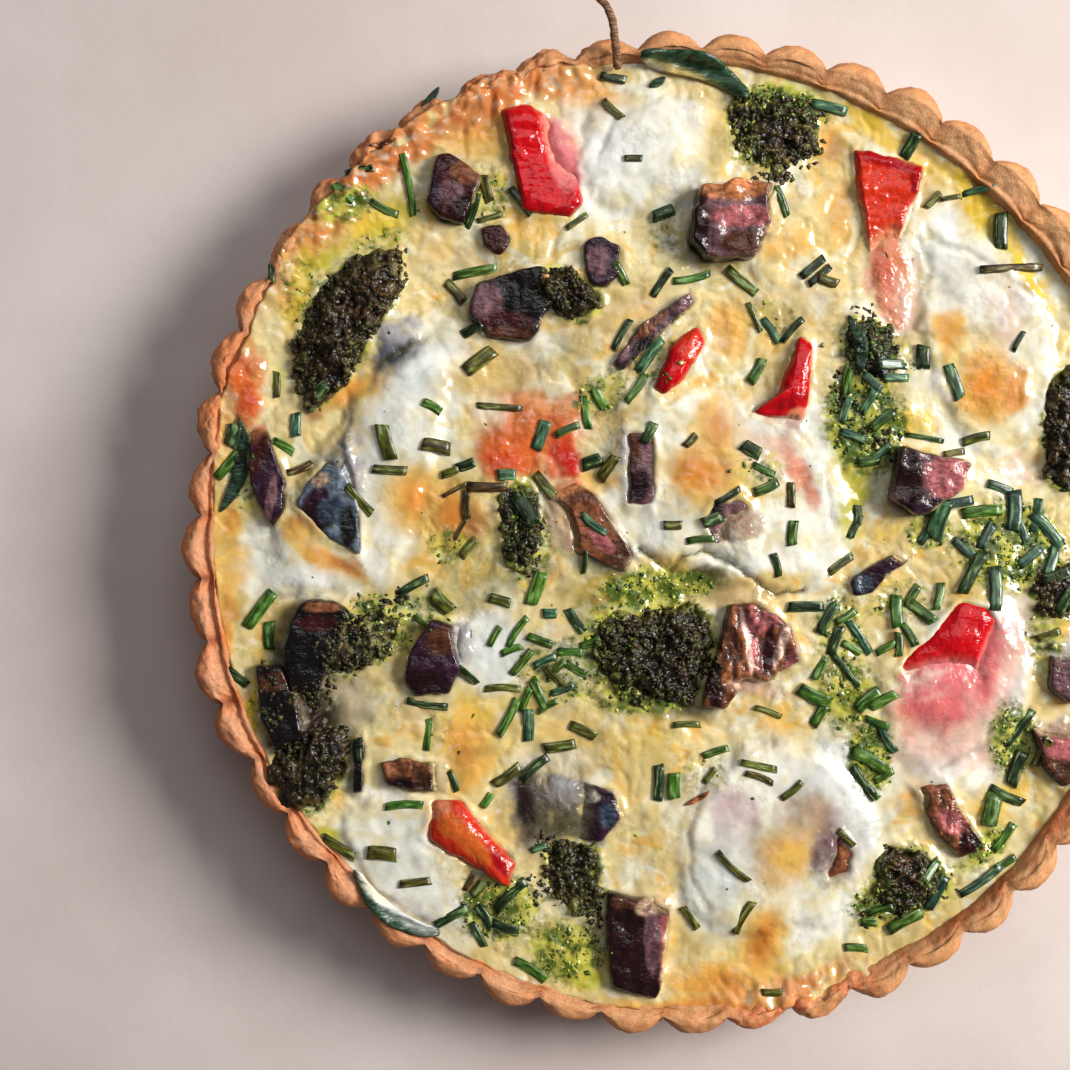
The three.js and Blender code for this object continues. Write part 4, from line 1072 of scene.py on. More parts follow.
# Folds where cheese has run over the custard, with painted shade along them: depth, then points along the
# line
FOLDS = [
    (1.0, (640, 548), (668, 573), (683, 556), (703, 550), (732, 563), (748, 576), (776, 594), (804, 590)),
    (0.6, (374, 372), (386, 360), (402, 352), (422, 340)),
    (0.5, (566, 505), (590, 520), (612, 545), (636, 560)),
    (0.4, (938, 242), (972, 254), (1004, 276), (1040, 304), (1056, 350), (1050, 420)),
    (0.4, (704, 782), (688, 830), (690, 870), (706, 908)),
    (0.4, (745, 408), (790, 424), (824, 470), (834, 530)), (0.5, (652, 345), (628, 366), (606, 372)),
    (0.4, (860, 232), (848, 262), (852, 300)), (0.4, (918, 236), (930, 264), (926, 300)),
    (0.4, (420, 700), (432, 728), (428, 750)), (0.4, (600, 150), (614, 120), (660, 96), (704, 100)),
    (0.4, (330, 590), (300, 600), (268, 596)), (0.4, (1000, 700), (985, 745), (940, 770)),
    (0.4, (560, 232), (548, 256), (566, 268)),
]
FOLD_WIDTH = 0.8


def folds(points):
    """How much the folds lower the filling, and how strongly painted shade darkens them."""
    spots = points[:, :2] + wobble_at(points, 57, 0.5, 0.5)
    lowered, fold_shade = np.zeros(len(points)), np.zeros(len(points))
    for depth, *line in FOLDS:
        corners = np.array([place(*corner) for corner in line])
        for start, end in zip(corners, corners[1:]):
            ahead = end - start
            share = np.clip((spots - start) @ ahead / (ahead @ ahead), 0, 1)
            away = np.hypot(*(spots - start - share[:, None] * ahead).T)
            close = depth * np.exp(-(away / FOLD_WIDTH) ** 2)
            lowered, fold_shade = np.minimum(lowered, -close), np.maximum(fold_shade, 0.9 * close)
    return lowered, fold_shade


def shade_beside_aubergine(x, y):
    """How strongly painted shade darkens the custard beside the aubergine pieces."""
    painted_shade = np.zeros_like(x)
    swing = 1.3 * fractal(on_plane(x, y), 3, 99, 2)
    for outline in of_kind("aubergine"):
        near, away = outline.beside(x, y, SHADE_WITHIN)
        painted_shade[near] = np.maximum(painted_shade[near], 0.6 * ramp(away + swing[near], SHADE_REACH, -0.4))
    return painted_shade


def greened(green, curds, x, y):
    """The share of green oil, with more of it beside the pesto heaps."""
    for outline in of_kind("pesto"):
        near, away = outline.beside(x, y, TOPPING_REACH)
        green[near] = np.maximum(green[near], 0.75 * ramp(away + 2.5 * curds[near], 3, -1))
    return green


def filling_paint(flat, curds, painted_shade, shown, baked, fold_shade):
    """The filling's painted colour and how strong it is."""
    colour, strength = tints(flat, wobble_at(flat, 31, 1.9, 0.9))
    browned = blend(TONES["salmon"], TONES["scorched"], ramp(fractal(flat, 2.4, 77, 2), -0.3, 0.9))
    browned = blend(browned, TONES["milk"], 0.7 * ramp(fractal(flat, 1.7, 79, 2), 0.3, 0.9))
    _, through = covers(flat)
    spot, over = tints(flat, wobble_at(flat, 33, 0.9, 0.6), SPOTS)
    layers = [
        (browned, baked, baked),
        # painted shade on the custard beside the aubergine pieces
        (TONES["smoke"], painted_shade, painted_shade),
        (through, shown, shown * (0.55 + 0.45 * ramp(curds, -0.7, 0.5))),
        (spot, over, over),
        # painted shade along the folds
        (TONES["murk"], fold_shade, fold_shade),
    ]
    for tone, share, weight in layers:
        colour = blend(colour, tone, share)
        strength = np.maximum(strength, weight)
    return np.column_stack([colour, strength])


def filling_height(x, y, angle):
    """The filling's height, and the masks that its material reads."""
    flat = on_plane(x, y)
    wobble = wobble_at(flat, FILL_WOBBLE)
    white, green = patches(flat, WHITE, wobble), patches(flat, GREEN, wobble)
    curds = fractal(flat, 3.4, 61, 2)
    crease = 1 - np.abs(fractal(flat + 1.6 * np.pad(wobble, ((0, 0), (0, 1))), 5.5, 81, 2))
    climb, shown = round_toppings(x, y)
    lowered, fold_shade = folds(flat)
    edge = edge_radius(angle)
    out = np.hypot(x, y)
    scorch = scorch_at(angle) ** STRETCH_FADE
    band = ramp(out + 3 * lattice(flat, 7, 73), edge - 7, edge - 1)
    edge_climb = EDGE_CLIMB * ramp(out, edge - 3, edge + 1.5)
    height = surface(x, y) + cheese_mounds(x, y, wobble) + climb
    for more in [
        0.4 * fractal(flat, 9, 51, 2),
        -(0.3 - 0.2 * white) * ramp(crease, 0.75, 1),
        (0.24 - 0.14 * white) * curds,
        (0.05 + 0.35 * green) * fractal(flat, 1.6, 65, 2),
        edge_climb * (0.25 + 0.45 * bump(angle, *CLIMBED_SIDE) * (1 + 0.3 * curds)),
        scorch * ramp(out, edge - 4, edge + 3) * (1.7 + 0.7 * curds),
        0.9 * scorch * band * fractal(flat, 1.8, 75, 2),
        lowered,
    ]:
        height += more
    baked = scorch * band * ramp(curds, -1.1, -0.1)
    masks = {
        "zones": np.stack([white, greened(green, curds, x, y), shown], axis=1),
        "tint": filling_paint(flat, curds, shade_beside_aubergine(x, y), shown, baked, fold_shade),
    }
    return height, masks


def filling_material():
    graph = Graph("custard")
    white, green, shown = graph.channels("zones")
    broad = graph.noise(11, detail=2)
    swirl = graph.noise(6, detail=2, distortion=1.2)
    baked = graph.noise(4.5, detail=3, distortion=0.6)
    small = graph.noise(2.4, detail=2, roughness=0.5)
    fine = graph.noise(0.8, detail=2)

    def broken(mask, low, high, noise=small, amount=0.5):
        """The mask with its edge broken up by the noise."""
        swing = graph.math("MULTIPLY", graph.math("SUBTRACT", noise, 0.5), amount)
        return graph.step(graph.math("ADD", mask, swing), low, high)

    strings = graph.noise(2.6, detail=3, roughness=0.6, distortion=2.2)
    cream = graph.mix((0.76, 0.56, 0.21), (0.86, 0.71, 0.35), graph.step(broad, 0.36, 0.62))
    cream = graph.mix(cream, (0.9, 0.84, 0.6), graph.step(swirl, 0.5, 0.64, 0, 0.9))
    cream = graph.mix(cream, (0.82, 0.46, 0.08), graph.step(baked, 0.54, 0.68, 0, 0.8))
    cream = graph.mix(cream, (0.42, 0.35, 0.07), graph.step(small, 0.56, 0.72, 0, 0.4))
    milk = graph.mix((0.84, 0.74, 0.46), (0.91, 0.89, 0.76), graph.step(swirl, 0.34, 0.56))
    colour = graph.mix(cream, milk, broken(white, 0.1, 0.9, broad, 0.5))
    tint = graph.node("ShaderNodeAttribute", attribute_name="tint").outputs
    colour = graph.mix(colour, tint["Color"], broken(tint["Alpha"], 0.1, 0.95, small, 0.7))
    colour = graph.mix(colour, (0.88, 0.84, 0.7), graph.step(strings, 0.58, 0.7, 0, 0.25))
    colour = graph.mix(colour, (0.48, 0.35, 0.08), graph.step(strings, 0.42, 0.3, 0, 0.2))
    oil = graph.mix((0.62, 0.58, 0.09), (0.09, 0.14, 0.015), graph.step(small, 0.36, 0.58))
    colour = graph.mix(colour, oil, broken(green, 0.2, 0.9, fine, 1.4))
    colour = graph.shaded(colour, graph.step(baked, 0.34, 0.6, 0.84, 1.04))
    graph.set(Base_Color=colour, Roughness=graph.step(small, 0.3, 0.7, 0.12, 0.28))
    graph.scatter(0.12, (2.2, 1.5, 0.8))
    rolling = graph.noise(3.2, detail=1, roughness=0.35)
    rough_spots = graph.step(graph.noise(7, detail=2), 0.46, 0.64, 0.0, 0.26)
    wet = graph.math("MULTIPLY", graph.math("ADD", green, shown), 0.2)
    rough_spots = graph.math("ADD", rough_spots, wet)
    glints = graph.math("MULTIPLY", graph.noise(1.1, detail=1), rough_spots)
    graph.set(Coat_Weight=graph.step(shown, 0.2, 0.8, 0.3, 0.12), Coat_Roughness=0.07)
    graph.relief(graph.math("ADD", graph.math("MULTIPLY", rolling, 0.45), glints), 1.0)
    return graph.material


def filling_lip(angle, share):
    """How far out the filling goes, ragged near its edge."""
    lip = edge_radius(angle) + SEEN_EDGE * (1 - 0.75 * left_share(angle))
    lip = np.maximum(lip + bumps(OVERFLOWS, angle) * 0.6, lip + BAKED_REACH * scorch_at(angle))
    turn = np.radians(angle)
    ragged = fractal(on_plane(40 * np.cos(turn), 40 * np.sin(turn)), 2, 41)
    return lip + (0.5 + 1.2 * scorch_at(angle)) * ragged * ramp(share, 0.9, 1)


def closed_below(points, faces, turn):
    """The filling's top with its side inside the case and its underside on the case's floor."""
    count = 6 * FILL_RINGS
    edge = points[-count:]
    inner = edge_radius(np.degrees(turn))
    floor = FLOOR_THICKNESS + CASE_GAP
    layers = [points]
    total = len(points)
    above = total - count
    for radius, level in ((inner + CASE_GAP, FILL_LEVEL - SIDE_DROP), (inner - WALL_LEAN - CASE_GAP, floor)):
        ring = np.stack([radius * np.cos(turn), radius * np.sin(turn), np.full(count, level)], axis=1)
        ring[:, 2] = np.minimum(ring[:, 2], edge[:, 2] - 0.8)
        layers.append(ring)
        faces = np.concatenate([faces, strips(total, above, count)])
        above = total
        total += count
    layers.append(np.array([[0, 0, floor]]))
    return np.concatenate(layers), np.concatenate([faces, fan(total, above, count, False)])


def make_filling():
    share, angle, faces = disc(FILL_RINGS)
    turn = np.radians(angle)
    lip = filling_lip(angle, share)
    x, y = share * lip * np.cos(turn), share * lip * np.sin(turn)
    height, masks = filling_height(x, y, angle)
    points, faces = closed_below(np.stack([x, y, height], axis=1), faces, turn[-6 * FILL_RINGS:])
    for key, values in masks.items():
        spare = np.zeros((len(points) - len(values), values.shape[1]))
        masks[key] = np.concatenate([values, spare])
    ground.add(points, faces)
    covered = ["custard"] + [outline.node for outline in of_kind("cheese")]
    add_piece("custard_and_cheese", points, faces, filling_material(), covered, masks)


# Pieces set into the filling

# The spacing of a piece's points
PIECE_STEP = 0.42
# A lump's side widens by FLARE from its foot to where its edge starts to turn in, at 1 - ROUNDED of
# its height, and the edge turns in steps of a quarter circle
FLARE = 0.04
ROUNDED = 0.2
SIDE_RINGS = 6
EDGE_TURNS = (25, 50, 70, 90)


def lump(ring, middle, foot, height, edge, step):
    """A closed mesh over a ring: straight sides, an edge rounded `edge` wide, and a top at
    height(x, y, share), where share is 1 on the ring and 0 in the middle."""
    ring = resampled(ring, step)
    count = len(ring)
    mean = np.hypot(*(ring - middle).T).mean()
    straight = 1 - ROUNDED
    rows = [(1 - FLARE + FLARE * v / straight, v) for v in np.linspace(0, straight, SIDE_RINGS)]
    for turn in np.radians(EDGE_TURNS):
        rows.append((1 - edge * (1 - math.cos(turn)) / mean, straight + ROUNDED * math.sin(turn)))
    last = rows[-1][0]
    rows += [(share, 1) for share in np.linspace(last, 0, max(4, round(mean / step)) + 1)[1:-1]]
    layers = []
    for share, up in rows:
        flat = middle + share * (ring - middle)
        top = height(flat[:, 0], flat[:, 1], share)
        layers.append(np.column_stack([flat, foot + up * (top - foot)]))
    faces = [strips(k * count, (k + 1) * count, count) for k in range(len(rows) - 1)]
    points = np.concatenate(layers)
    tip = height(middle[:1], middle[1:], 0)[0]
    points = np.concatenate([points, [[*middle, foot], [*middle, tip]]])
    top_ring = (len(rows) - 1) * count
    faces += [fan(len(points) - 2, 0, count, False), fan(len(points) - 1, top_ring, count, True)]
    return points, np.concatenate(faces)


# Each piece's own tone, by its number
AUBERGINE_BASE = {
    1: "maroon", 2: "maroon", 3: "black", 4: "purple", 5: "mauve", 6: "mauve", 7: "mauve", 8: "mauve",
    9: "umber", 10: "steel", 11: "slate", 12: "purple", 13: "purple", 14: "umber", 15: "black", 16: "black",
    17: "black", 18: "purple", 19: "night", 20: "flesh", 21: "mauve", 22: "purple", 23: "flesh",
    24: "umber", 25: "mauve", 26: "umber",
}
# Pieces whose flesh has split into strands
STRANDED = (6, 14, 20, 23)
# Colours across the pieces: tone and patch
# Most night and black patches lie on the pieces' left sides and lower edges: partly their dark skin, partly
# painted shade. The silver patches are painted glints
AUBERGINE_PAINT = [
    ("flesh", 468, 176, 16, 12, -20), ("mauve", 452, 196, 14, 12, 0), ("night", 468, 214, 16, 16, 0),
    ("purple", 432, 190, 8, 30, 0), ("tan", 728, 194, 36, 12, 0), ("rose", 738, 222, 30, 12, 0),
    ("night", 696, 232, 9, 34, 0), ("umber", 740, 248, 26, 10, 0), ("black", 690, 256, 8, 16, 0),
    ("mauve", 487, 306, 15, 24, 0), ("maroon", 506, 326, 28, 12, 0), ("tan", 556, 277, 14, 10, 0),
    ("umber", 505, 336, 26, 6, 0), ("night", 640, 350, 20, 6, 45), ("flesh", 650, 325, 22, 6, 45),
    ("steel", 335, 475, 14, 34, -15), ("purple", 318, 500, 16, 10, 40), ("silver", 348, 470, 8, 14, 20),
    ("fog", 322, 480, 10, 8, 0), ("night", 316, 520, 16, 16, 20), ("slate", 334, 512, 14, 14, 0),
    ("black", 350, 528, 9, 22, 0), ("ash", 388, 340, 20, 10, 20), ("black", 404, 352, 22, 3, 35),
    ("ash", 412, 362, 16, 6, 35), ("maroon", 262, 455, 8, 26, -20), ("mauve", 274, 500, 5, 22, -10),
    ("umber", 445, 640, 18, 14, 20), ("night", 425, 680, 22, 12, 0), ("flesh", 405, 766, 24, 8, 0),
    ("night", 400, 782, 22, 5, 0), ("flesh", 325, 606, 18, 5, 0), ("maroon", 320, 622, 20, 8, 0),
    ("umber", 278, 680, 14, 10, 0), ("slate", 606, 812, 8, 12, 0), ("milk", 588, 795, 10, 6, 0),
    ("umber", 635, 898, 28, 7, 0), ("rose", 664, 950, 7, 46, 0), ("mauve", 652, 935, 8, 34, 0),
    ("fog", 650, 904, 16, 8, 0), ("rose", 762, 620, 24, 10, 20), ("night", 712, 684, 9, 30, 10),
    ("rose", 752, 640, 5, 34, 6), ("blush", 744, 640, 3, 30, 8), ("blush", 779, 644, 4, 24, -20),
    ("maroon", 766, 650, 6, 26, -8), ("umber", 728, 640, 8, 24, 5), ("rose", 790, 660, 7, 16, -20),
    ("night", 905, 482, 16, 38, 8), ("rose", 944, 478, 24, 22, -10), ("purple", 926, 506, 18, 8, 10),
    ("umber", 930, 452, 30, 5, -12), ("rose", 950, 822, 16, 10, -45), ("maroon", 968, 842, 12, 12, -30),
    ("tan", 922, 788, 10, 6, -45), ("flesh", 838, 862, 18, 16, 0), ("night", 637, 486, 12, 16, 0),
    ("silver", 656, 462, 4, 34, 0), ("umber", 632, 450, 8, 20, 0), ("black", 712, 515, 10, 12, 0),
    ("flesh", 590, 530, 26, 30, 0), ("rose", 600, 540, 16, 8, -50), ("umber", 620, 560, 14, 8, 0),
    ("mauve", 598, 262, 12, 14, 0), ("slate", 862, 584, 10, 10, 0), ("mauve", 1070, 665, 22, 26, 0),
    ("rose", 1065, 745, 22, 16, 0), ("umber", 900, 560, 16, 5, -25), ("maroon", 512, 238, 10, 14, 0),
]
PEPPER_BASE = {
    1: "red", 2: "scarlet", 3: "red", 4: "red", 5: "orange", 6: "red", 7: "scarlet", 8: "orange",
    9: "orange", 10: "orange",
}
# Pieces that lie flat with a curled edge
SHEETS = (1, 2)
PEPPER_PAINT = [
    ("coral", 572, 142, 22, 24, 8), ("pink", 562, 168, 12, 26, 20), ("deep", 510, 150, 8, 46, 5),
    ("deep", 560, 218, 26, 8, 20), ("deep", 888, 160, 40, 9, -10), ("scarlet", 888, 205, 18, 26, 0),
    ("deep", 916, 178, 8, 22, 10), ("coral", 892, 262, 26, 24, 5), ("scarlet", 688, 345, 12, 22, 20),
    ("deep", 664, 385, 8, 10, 0), ("coral", 800, 415, 14, 8, 0), ("deep", 792, 400, 22, 6, 20),
    ("scarlet", 565, 415, 16, 9, 0), ("red", 562, 455, 14, 16, 0), ("coral", 510, 440, 24, 26, 0),
    ("orange", 530, 468, 30, 7, 0), ("pink", 940, 702, 56, 38, 8), ("pink", 998, 662, 20, 54, -18),
    ("blush", 1006, 672, 14, 44, -18), ("blush", 962, 716, 30, 8, 10), ("blush", 926, 694, 14, 5, 0),
    ("coral", 440, 808, 14, 9, 20), ("orange", 452, 822, 14, 12, 0), ("deep", 498, 858, 6, 18, 40),
    ("orange", 470, 838, 10, 30, 42), ("coral", 1000, 385, 18, 14, 0), ("salmon", 236, 370, 12, 22, 0),
    ("peach", 250, 412, 14, 14, 0), ("salmon", 262, 380, 8, 30, 0),
]
PAINT_SOFTNESS = 0.25


def painted(points, base, rows, seed):
    """A base tone under the patches of the rows."""
    wobble = wobble_at(points, seed, 0.5, 0.35)
    colour = np.tile(TONES[base], (len(points), 1)).astype(float)
    return layered(colour, [
        (TONES[tone], patch(points, row, wobble, PAINT_SOFTNESS)) for tone, *row in rows
    ])


def join(parts):
    """Several (points, faces, paint) as one."""
    offset = np.cumsum([0] + [len(points) for points, _, _ in parts])
    return (
        np.concatenate([points for points, _, _ in parts]),
        np.concatenate([faces + start for (_, faces, _), start in zip(parts, offset)]),
        np.concatenate([paint for _, _, paint in parts]),
    )


def uneven(ring, middle, seed, amount, rounds=2):
    """The ring with its corners rounded a little and its line made uneven."""
    for _ in range(rounds):
        ring = (np.roll(ring, 1, axis=0) + 2 * ring + np.roll(ring, -1, axis=0)) / 4
    out = ring - middle
    swing = amount * fractal(on_plane(*ring.T), 3.5, seed, 2)
    return ring + out / np.hypot(*out.T)[:, None] * swing[:, None]


def vegetable_material(name, roughness, fibre, wrinkle, gloss, contrast):
    """Streaks along the direction `fibre` in degrees, and relief of `wrinkle` millimetres."""
    graph = Graph(name)
    streak = graph.noise(1.1, detail=2, roughness=0.5, stretch=(fibre, (1, 1.8, 1)))
    fine = graph.noise(0.5, detail=1)
    paint = graph.attribute("paint")
    # The streaks are lighter where their relief stands up and darker where it sinks: partly the flesh's own
    # streaks, partly painted light and shade
    colour = graph.shaded(paint, graph.step(streak, 0.3, 0.68, 1 - contrast, 1 + contrast))
    rough = graph.step(fine, 0.3, 0.7, roughness, roughness + 0.12)
    graph.set(Base_Color=colour, Roughness=rough, Specular_IOR_Level=gloss)
    graph.relief(graph.math("ADD", streak, graph.math("MULTIPLY", fine, 0.5)), wrinkle)
    return graph.material


def faded(points, paint):
    """The paint running out into the filling's colour where cheese covers the piece."""
    covered, tone = covers(points * (1, 1, 0))
    return blend(paint, blend(filling_tone(points), tone, 0.8), ramp(covered, 0, 0.7))


# A ring with fewer points than this has a narrower skin of cheese
SKIN_POINTS = 80


def skinned(outline, points, paint, seed):
    """The paint with a film in the filling's colour over the piece's edge here and there, most on its right.
    """
    flat = points * (1, 1, 0)
    _, away = outline.share(points[:, 0], points[:, 1])
    out = points[:, :2] - outline.middle
    side = out[:, 0] / np.maximum(np.hypot(*out.T), 1)
    small = min(1, len(outline.ring) / SKIN_POINTS)
    reach = (-1.1 + 1.4 * side + 1.5 * fractal(flat, 4.5, seed, 2)) * small
    fogged = ramp(fractal(flat, 2.5, seed + 5, 2), -0.6, 0.8) * 0.6
    film = blend(filling_tone(points), TONES["fog"], fogged)
    return blend(paint, film, 0.9 * ramp(away + reach, -0.7, 0.7))


def add_painted(outline, name, points, faces, paint, material):
    """Adds a piece in the place of its solid, and lays it down for what comes after."""
    ground.add(points, faces)
    name = f"{name}_{outline.number:02}"
    add_piece(name, points, faces, material, [outline.node], {"paint": paint})


def make_aubergine():
    material = vegetable_material("aubergine", 0.16, 20, 0.28, 0.5, 0.35)
    for outline in of_kind("aubergine"):
        number = outline.number
        ring = uneven(outline.ring, outline.middle, 100 + number, 0.7)
        tall = outline.rise()

        def height(x, y, share):
            dents = 0.13 * tall * fractal(on_plane(x, y), 4.5, 110 + number, 2)
            covered, _ = covers(on_plane(x, y))
            return outline.top + dents * (1 - covered) - covered * (0.9 * tall + 0.8)

        edge = min(1.1, 0.4 * tall)
        points, faces = lump(ring, outline.middle, outline.foot, height, edge, PIECE_STEP)
        fibre = fractal(points * (1, 0.45, 0.45), 1.3, 120 + number, 3)
        strands = 0.2 if number in STRANDED else 0.05
        rough = 0.25 * fractal(points, 4, 130 + number, 2) + strands * fibre
        points = points + normals_of(points, faces) * rough[:, None]
        paint = painted(points, AUBERGINE_BASE[number], AUBERGINE_PAINT, 140)
        # Painted shade on each piece's steep sides
        side = ramp(normals_of(points, faces)[:, 2], 0.55, 0.15)
        paint = blend(paint, TONES["black"], 0.6 * side)
        # Lighter ridges and darker grooves along the fibres: partly pale strands of flesh, partly painted
        # light on the ridges and painted shade in the grooves
        deep = 1 if number in STRANDED else 0.45
        bright = paint * (1 + 0.9 * deep * ramp(fibre, 0.1, 0.9))[:, None]
        paint = blend(bright, paint * 0.35, deep * ramp(fibre, 0.5, -0.7))
        paint = faded(points, skinned(outline, points, paint, 150 + number))
        add_painted(outline, "aubergine_chunk", points, faces, paint, material)


def make_pepper():
    material = vegetable_material("pepper", 0.12, 75, 0.16, 0.45, 0.12)
    for outline in of_kind("pepper"):
        number = outline.number
        ring = uneven(outline.ring, outline.middle, 200 + number, 0.7, 5)
        rise = max(outline.rise(), 1.4) / 1.1

        def height(x, y, share):
            share = np.asarray(share)
            curl = 0.35 * np.exp(-((share - 0.88) / 0.1) ** 2)
            fold = 0.5 * lattice(on_plane(x, y) * (0.6, 1, 1), 4, 210 + number)
            covered, _ = covers(on_plane(x, y))
            sheet = rise * (0.45 + 0.55 * ramp(share, 1.05, 0.75)) + curl
            dome = rise * (0.3 + 0.95 * np.sqrt(np.clip(1 - share ** 2, 0, 1)))
            body = sheet if number in SHEETS else dome
            return surface(x, y) + (body + fold) * (1 - covered) - 0.9 * covered

        points, faces = lump(ring, outline.middle, outline.foot, height, 0.9, PIECE_STEP)
        wrinkles = 0.12 * fractal(points * (1, 0.6, 1), 1.5, 220 + number, 2)
        if number in SHEETS:
            wrinkles = wrinkles + 0.25 * fractal(points * (0.35, 1, 1), 1.8, 230 + number, 2)
        points = points + normals_of(points, faces) * wrinkles[:, None]
        paint = painted(points, PEPPER_BASE[number], PEPPER_PAINT, 240)
        paint = faded(points, blend(paint, skinned(outline, points, paint, 250 + number), 0.7))
        add_painted(outline, "pepper_piece", points, faces, paint, material)


# Pesto heaps, their loose crumbs, and flecks of herb in the custard

CRUMB_TONES = [
    (0.014, 0.01, 0.004), (0.026, 0.018, 0.006), (0.04, 0.028, 0.009), (0.06, 0.045, 0.014),
    (0.08, 0.07, 0.02), (0.045, 0.05, 0.01),
]
# Each heap's tones in the middle and at the edge
PESTO_TONES = {
    1: ((0.045, 0.028, 0.012), (0.1, 0.075, 0.02)), 2: ((0.11, 0.095, 0.04), (0.2, 0.19, 0.06)),
    3: ((0.028, 0.02, 0.008), (0.07, 0.05, 0.015)), 4: ((0.06, 0.05, 0.012), (0.16, 0.17, 0.025)),
    5: ((0.02, 0.03, 0.01), (0.08, 0.13, 0.02)), 6: ((0.02, 0.017, 0.004), (0.1, 0.11, 0.015)),
    7: ((0.04, 0.035, 0.01), (0.1, 0.1, 0.02)), 8: ((0.035, 0.03, 0.008), (0.11, 0.12, 0.02)),
    11: ((0.03, 0.022, 0.012), (0.07, 0.06, 0.03)), 12: ((0.03, 0.04, 0.01), (0.12, 0.14, 0.025)),
}
# Colours across the heaps, in rows like the tints
PESTO_PAINT = [
    ("olive", 592, 640, 16, 40, 0, 0.35), ("olive", 640, 606, 40, 10, 0, 0.4),
    ("night", 690, 664, 18, 44, 0, 0.9), ("olive", 738, 120, 14, 34, 0, 0.5),
    ("night", 776, 126, 14, 24, 0, 0.6), ("umber", 790, 150, 16, 14, 0, 0.6),
    ("night", 320, 720, 24, 26, 0, 0.8), ("olive", 384, 622, 20, 16, 0, 0.4),
    ("night", 338, 660, 14, 20, 0, 0.8), ("umber", 905, 872, 12, 26, 10, 0.6),
    ("olive", 880, 900, 16, 14, 0, 0.4), ("olive", 560, 905, 18, 16, 0, 0.4),
    ("umber", 370, 300, 18, 26, 20, 0.4), ("night", 330, 370, 14, 40, 20, 0.5),
    ("night", 570, 292, 16, 14, 0, 0.6),
]
PESTO_STEP = 0.38


def pesto_material():
    graph = Graph("pesto")
    rubble = graph.noise(1.5, detail=2, roughness=0.6)
    fine = graph.noise(0.6, detail=1)
    # The tan specks are painted glints
    bright = graph.math("MULTIPLY", graph.step(fine, 0.55, 0.7), graph.step(rubble, 0.46, 0.6))
    colour = graph.mix(graph.attribute("paint"), (0.2, 0.15, 0.05), graph.math("MULTIPLY", bright, 0.6))
    # Near black where the rubble sinks: painted shade in the crevices
    colour = graph.mix((0.008, 0.006, 0.002), colour, graph.step(rubble, 0.34, 0.54))
    graph.set(Base_Color=colour, Roughness=0.3, Specular_IOR_Level=0.4)
    graph.relief(graph.math("ADD", rubble, graph.math("MULTIPLY", fine, 0.5)), 0.8)
    return graph.material


def make_pesto():
    material = pesto_material()
    for outline in of_kind("pesto"):
        number = outline.number
        ring = uneven(outline.ring, outline.middle, 300 + number, 2.4)
        ring = uneven(ring, outline.middle, 360 + number, 1.2, 1)
        rise = max(outline.rise(), 1.5)

        def height(x, y, share):
            dome = 0.35 + 0.65 * ramp(np.asarray(share), 1.05, 0.6)
            lumps = fractal(on_plane(x, y), 4.5, 310 + number, 2)
            return surface(x, y) + rise * dome * (0.85 + 0.45 * lumps)

        points, faces = lump(ring, outline.middle, outline.foot, height, 0.8, PESTO_STEP)
        clumps = 1 - 1.3 * np.abs(fractal(points, 2.8, 320 + number, 2))
        grains = fractal(points, 1.1, 330 + number, 2)
        points = points + normals_of(points, faces) * (0.9 * clumps + 0.3 * grains - 0.6)[:, None]
        share, _ = outline.share(points[:, 0], points[:, 1])
        edge = ramp(share + 0.35 * fractal(points, 2.5, 340, 2), 0.75, 1.15)
        dark, light = PESTO_TONES.get(number, PESTO_TONES[1])
        paint = blend(dark, light, edge)
        paint = blend(paint, *tints(points, wobble_at(points, 350, 1, 0.8), PESTO_PAINT))
        # Darker between the clumps and lighter on them: painted shade and painted light
        paint = paint * (0.2 + 1.5 * ramp(clumps + 0.3 * grains, 0.2, 1.1))[:, None]
        add_painted(outline, "pesto_heap", points, faces, paint, material)


# A grain of about 1 across, squashed and turned anew for each crumb and fleck
GRAIN = np.array([
    [0, 0, 1], [0.9, 0, 0.2], [0.2, 0.9, 0.1], [-0.85, 0.25, 0.15], [-0.2, -0.9, 0.2], [0.5, -0.3, -0.7],
    [-0.4, 0.4, -0.8],
])
GRAIN_FACES = np.array([
    [0, 1, 2], [0, 2, 3], [0, 3, 4], [0, 4, 1], [5, 2, 1], [5, 6, 2], [6, 3, 2], [6, 4, 3], [6, 5, 4],
    [5, 1, 4],
])


def scattered(x, y, sizes, flatness, tones, random, sink):
    """Small grains of random turn set down on what lies below, as (points, faces, paint)."""
    level = ground.height(x, y)
    parts = []
    for px, py, pz, size in zip(x, y, level, sizes):
        spin = random.uniform(0, 2 * math.pi)
        tilt = random.uniform(-0.5, 0.5)
        wide = size * random.uniform(0.3, 1)
        grain = GRAIN * (size, wide, size * flatness) * random.uniform(0.6, 1.4, GRAIN.shape)
        u, v = turned(grain[:, 0], grain[:, 1], spin)
        lying = np.stack([u, v, grain[:, 2] + tilt * grain[:, 0]], axis=1)
        tone = np.array(tones[random.integers(len(tones))]) * random.uniform(0.7, 1.3)
        points = lying + (px, py, pz + size * flatness * (1 - 2 * sink))
        parts.append((points, GRAIN_FACES, np.tile(tone, (len(GRAIN), 1))))
    return join(parts)


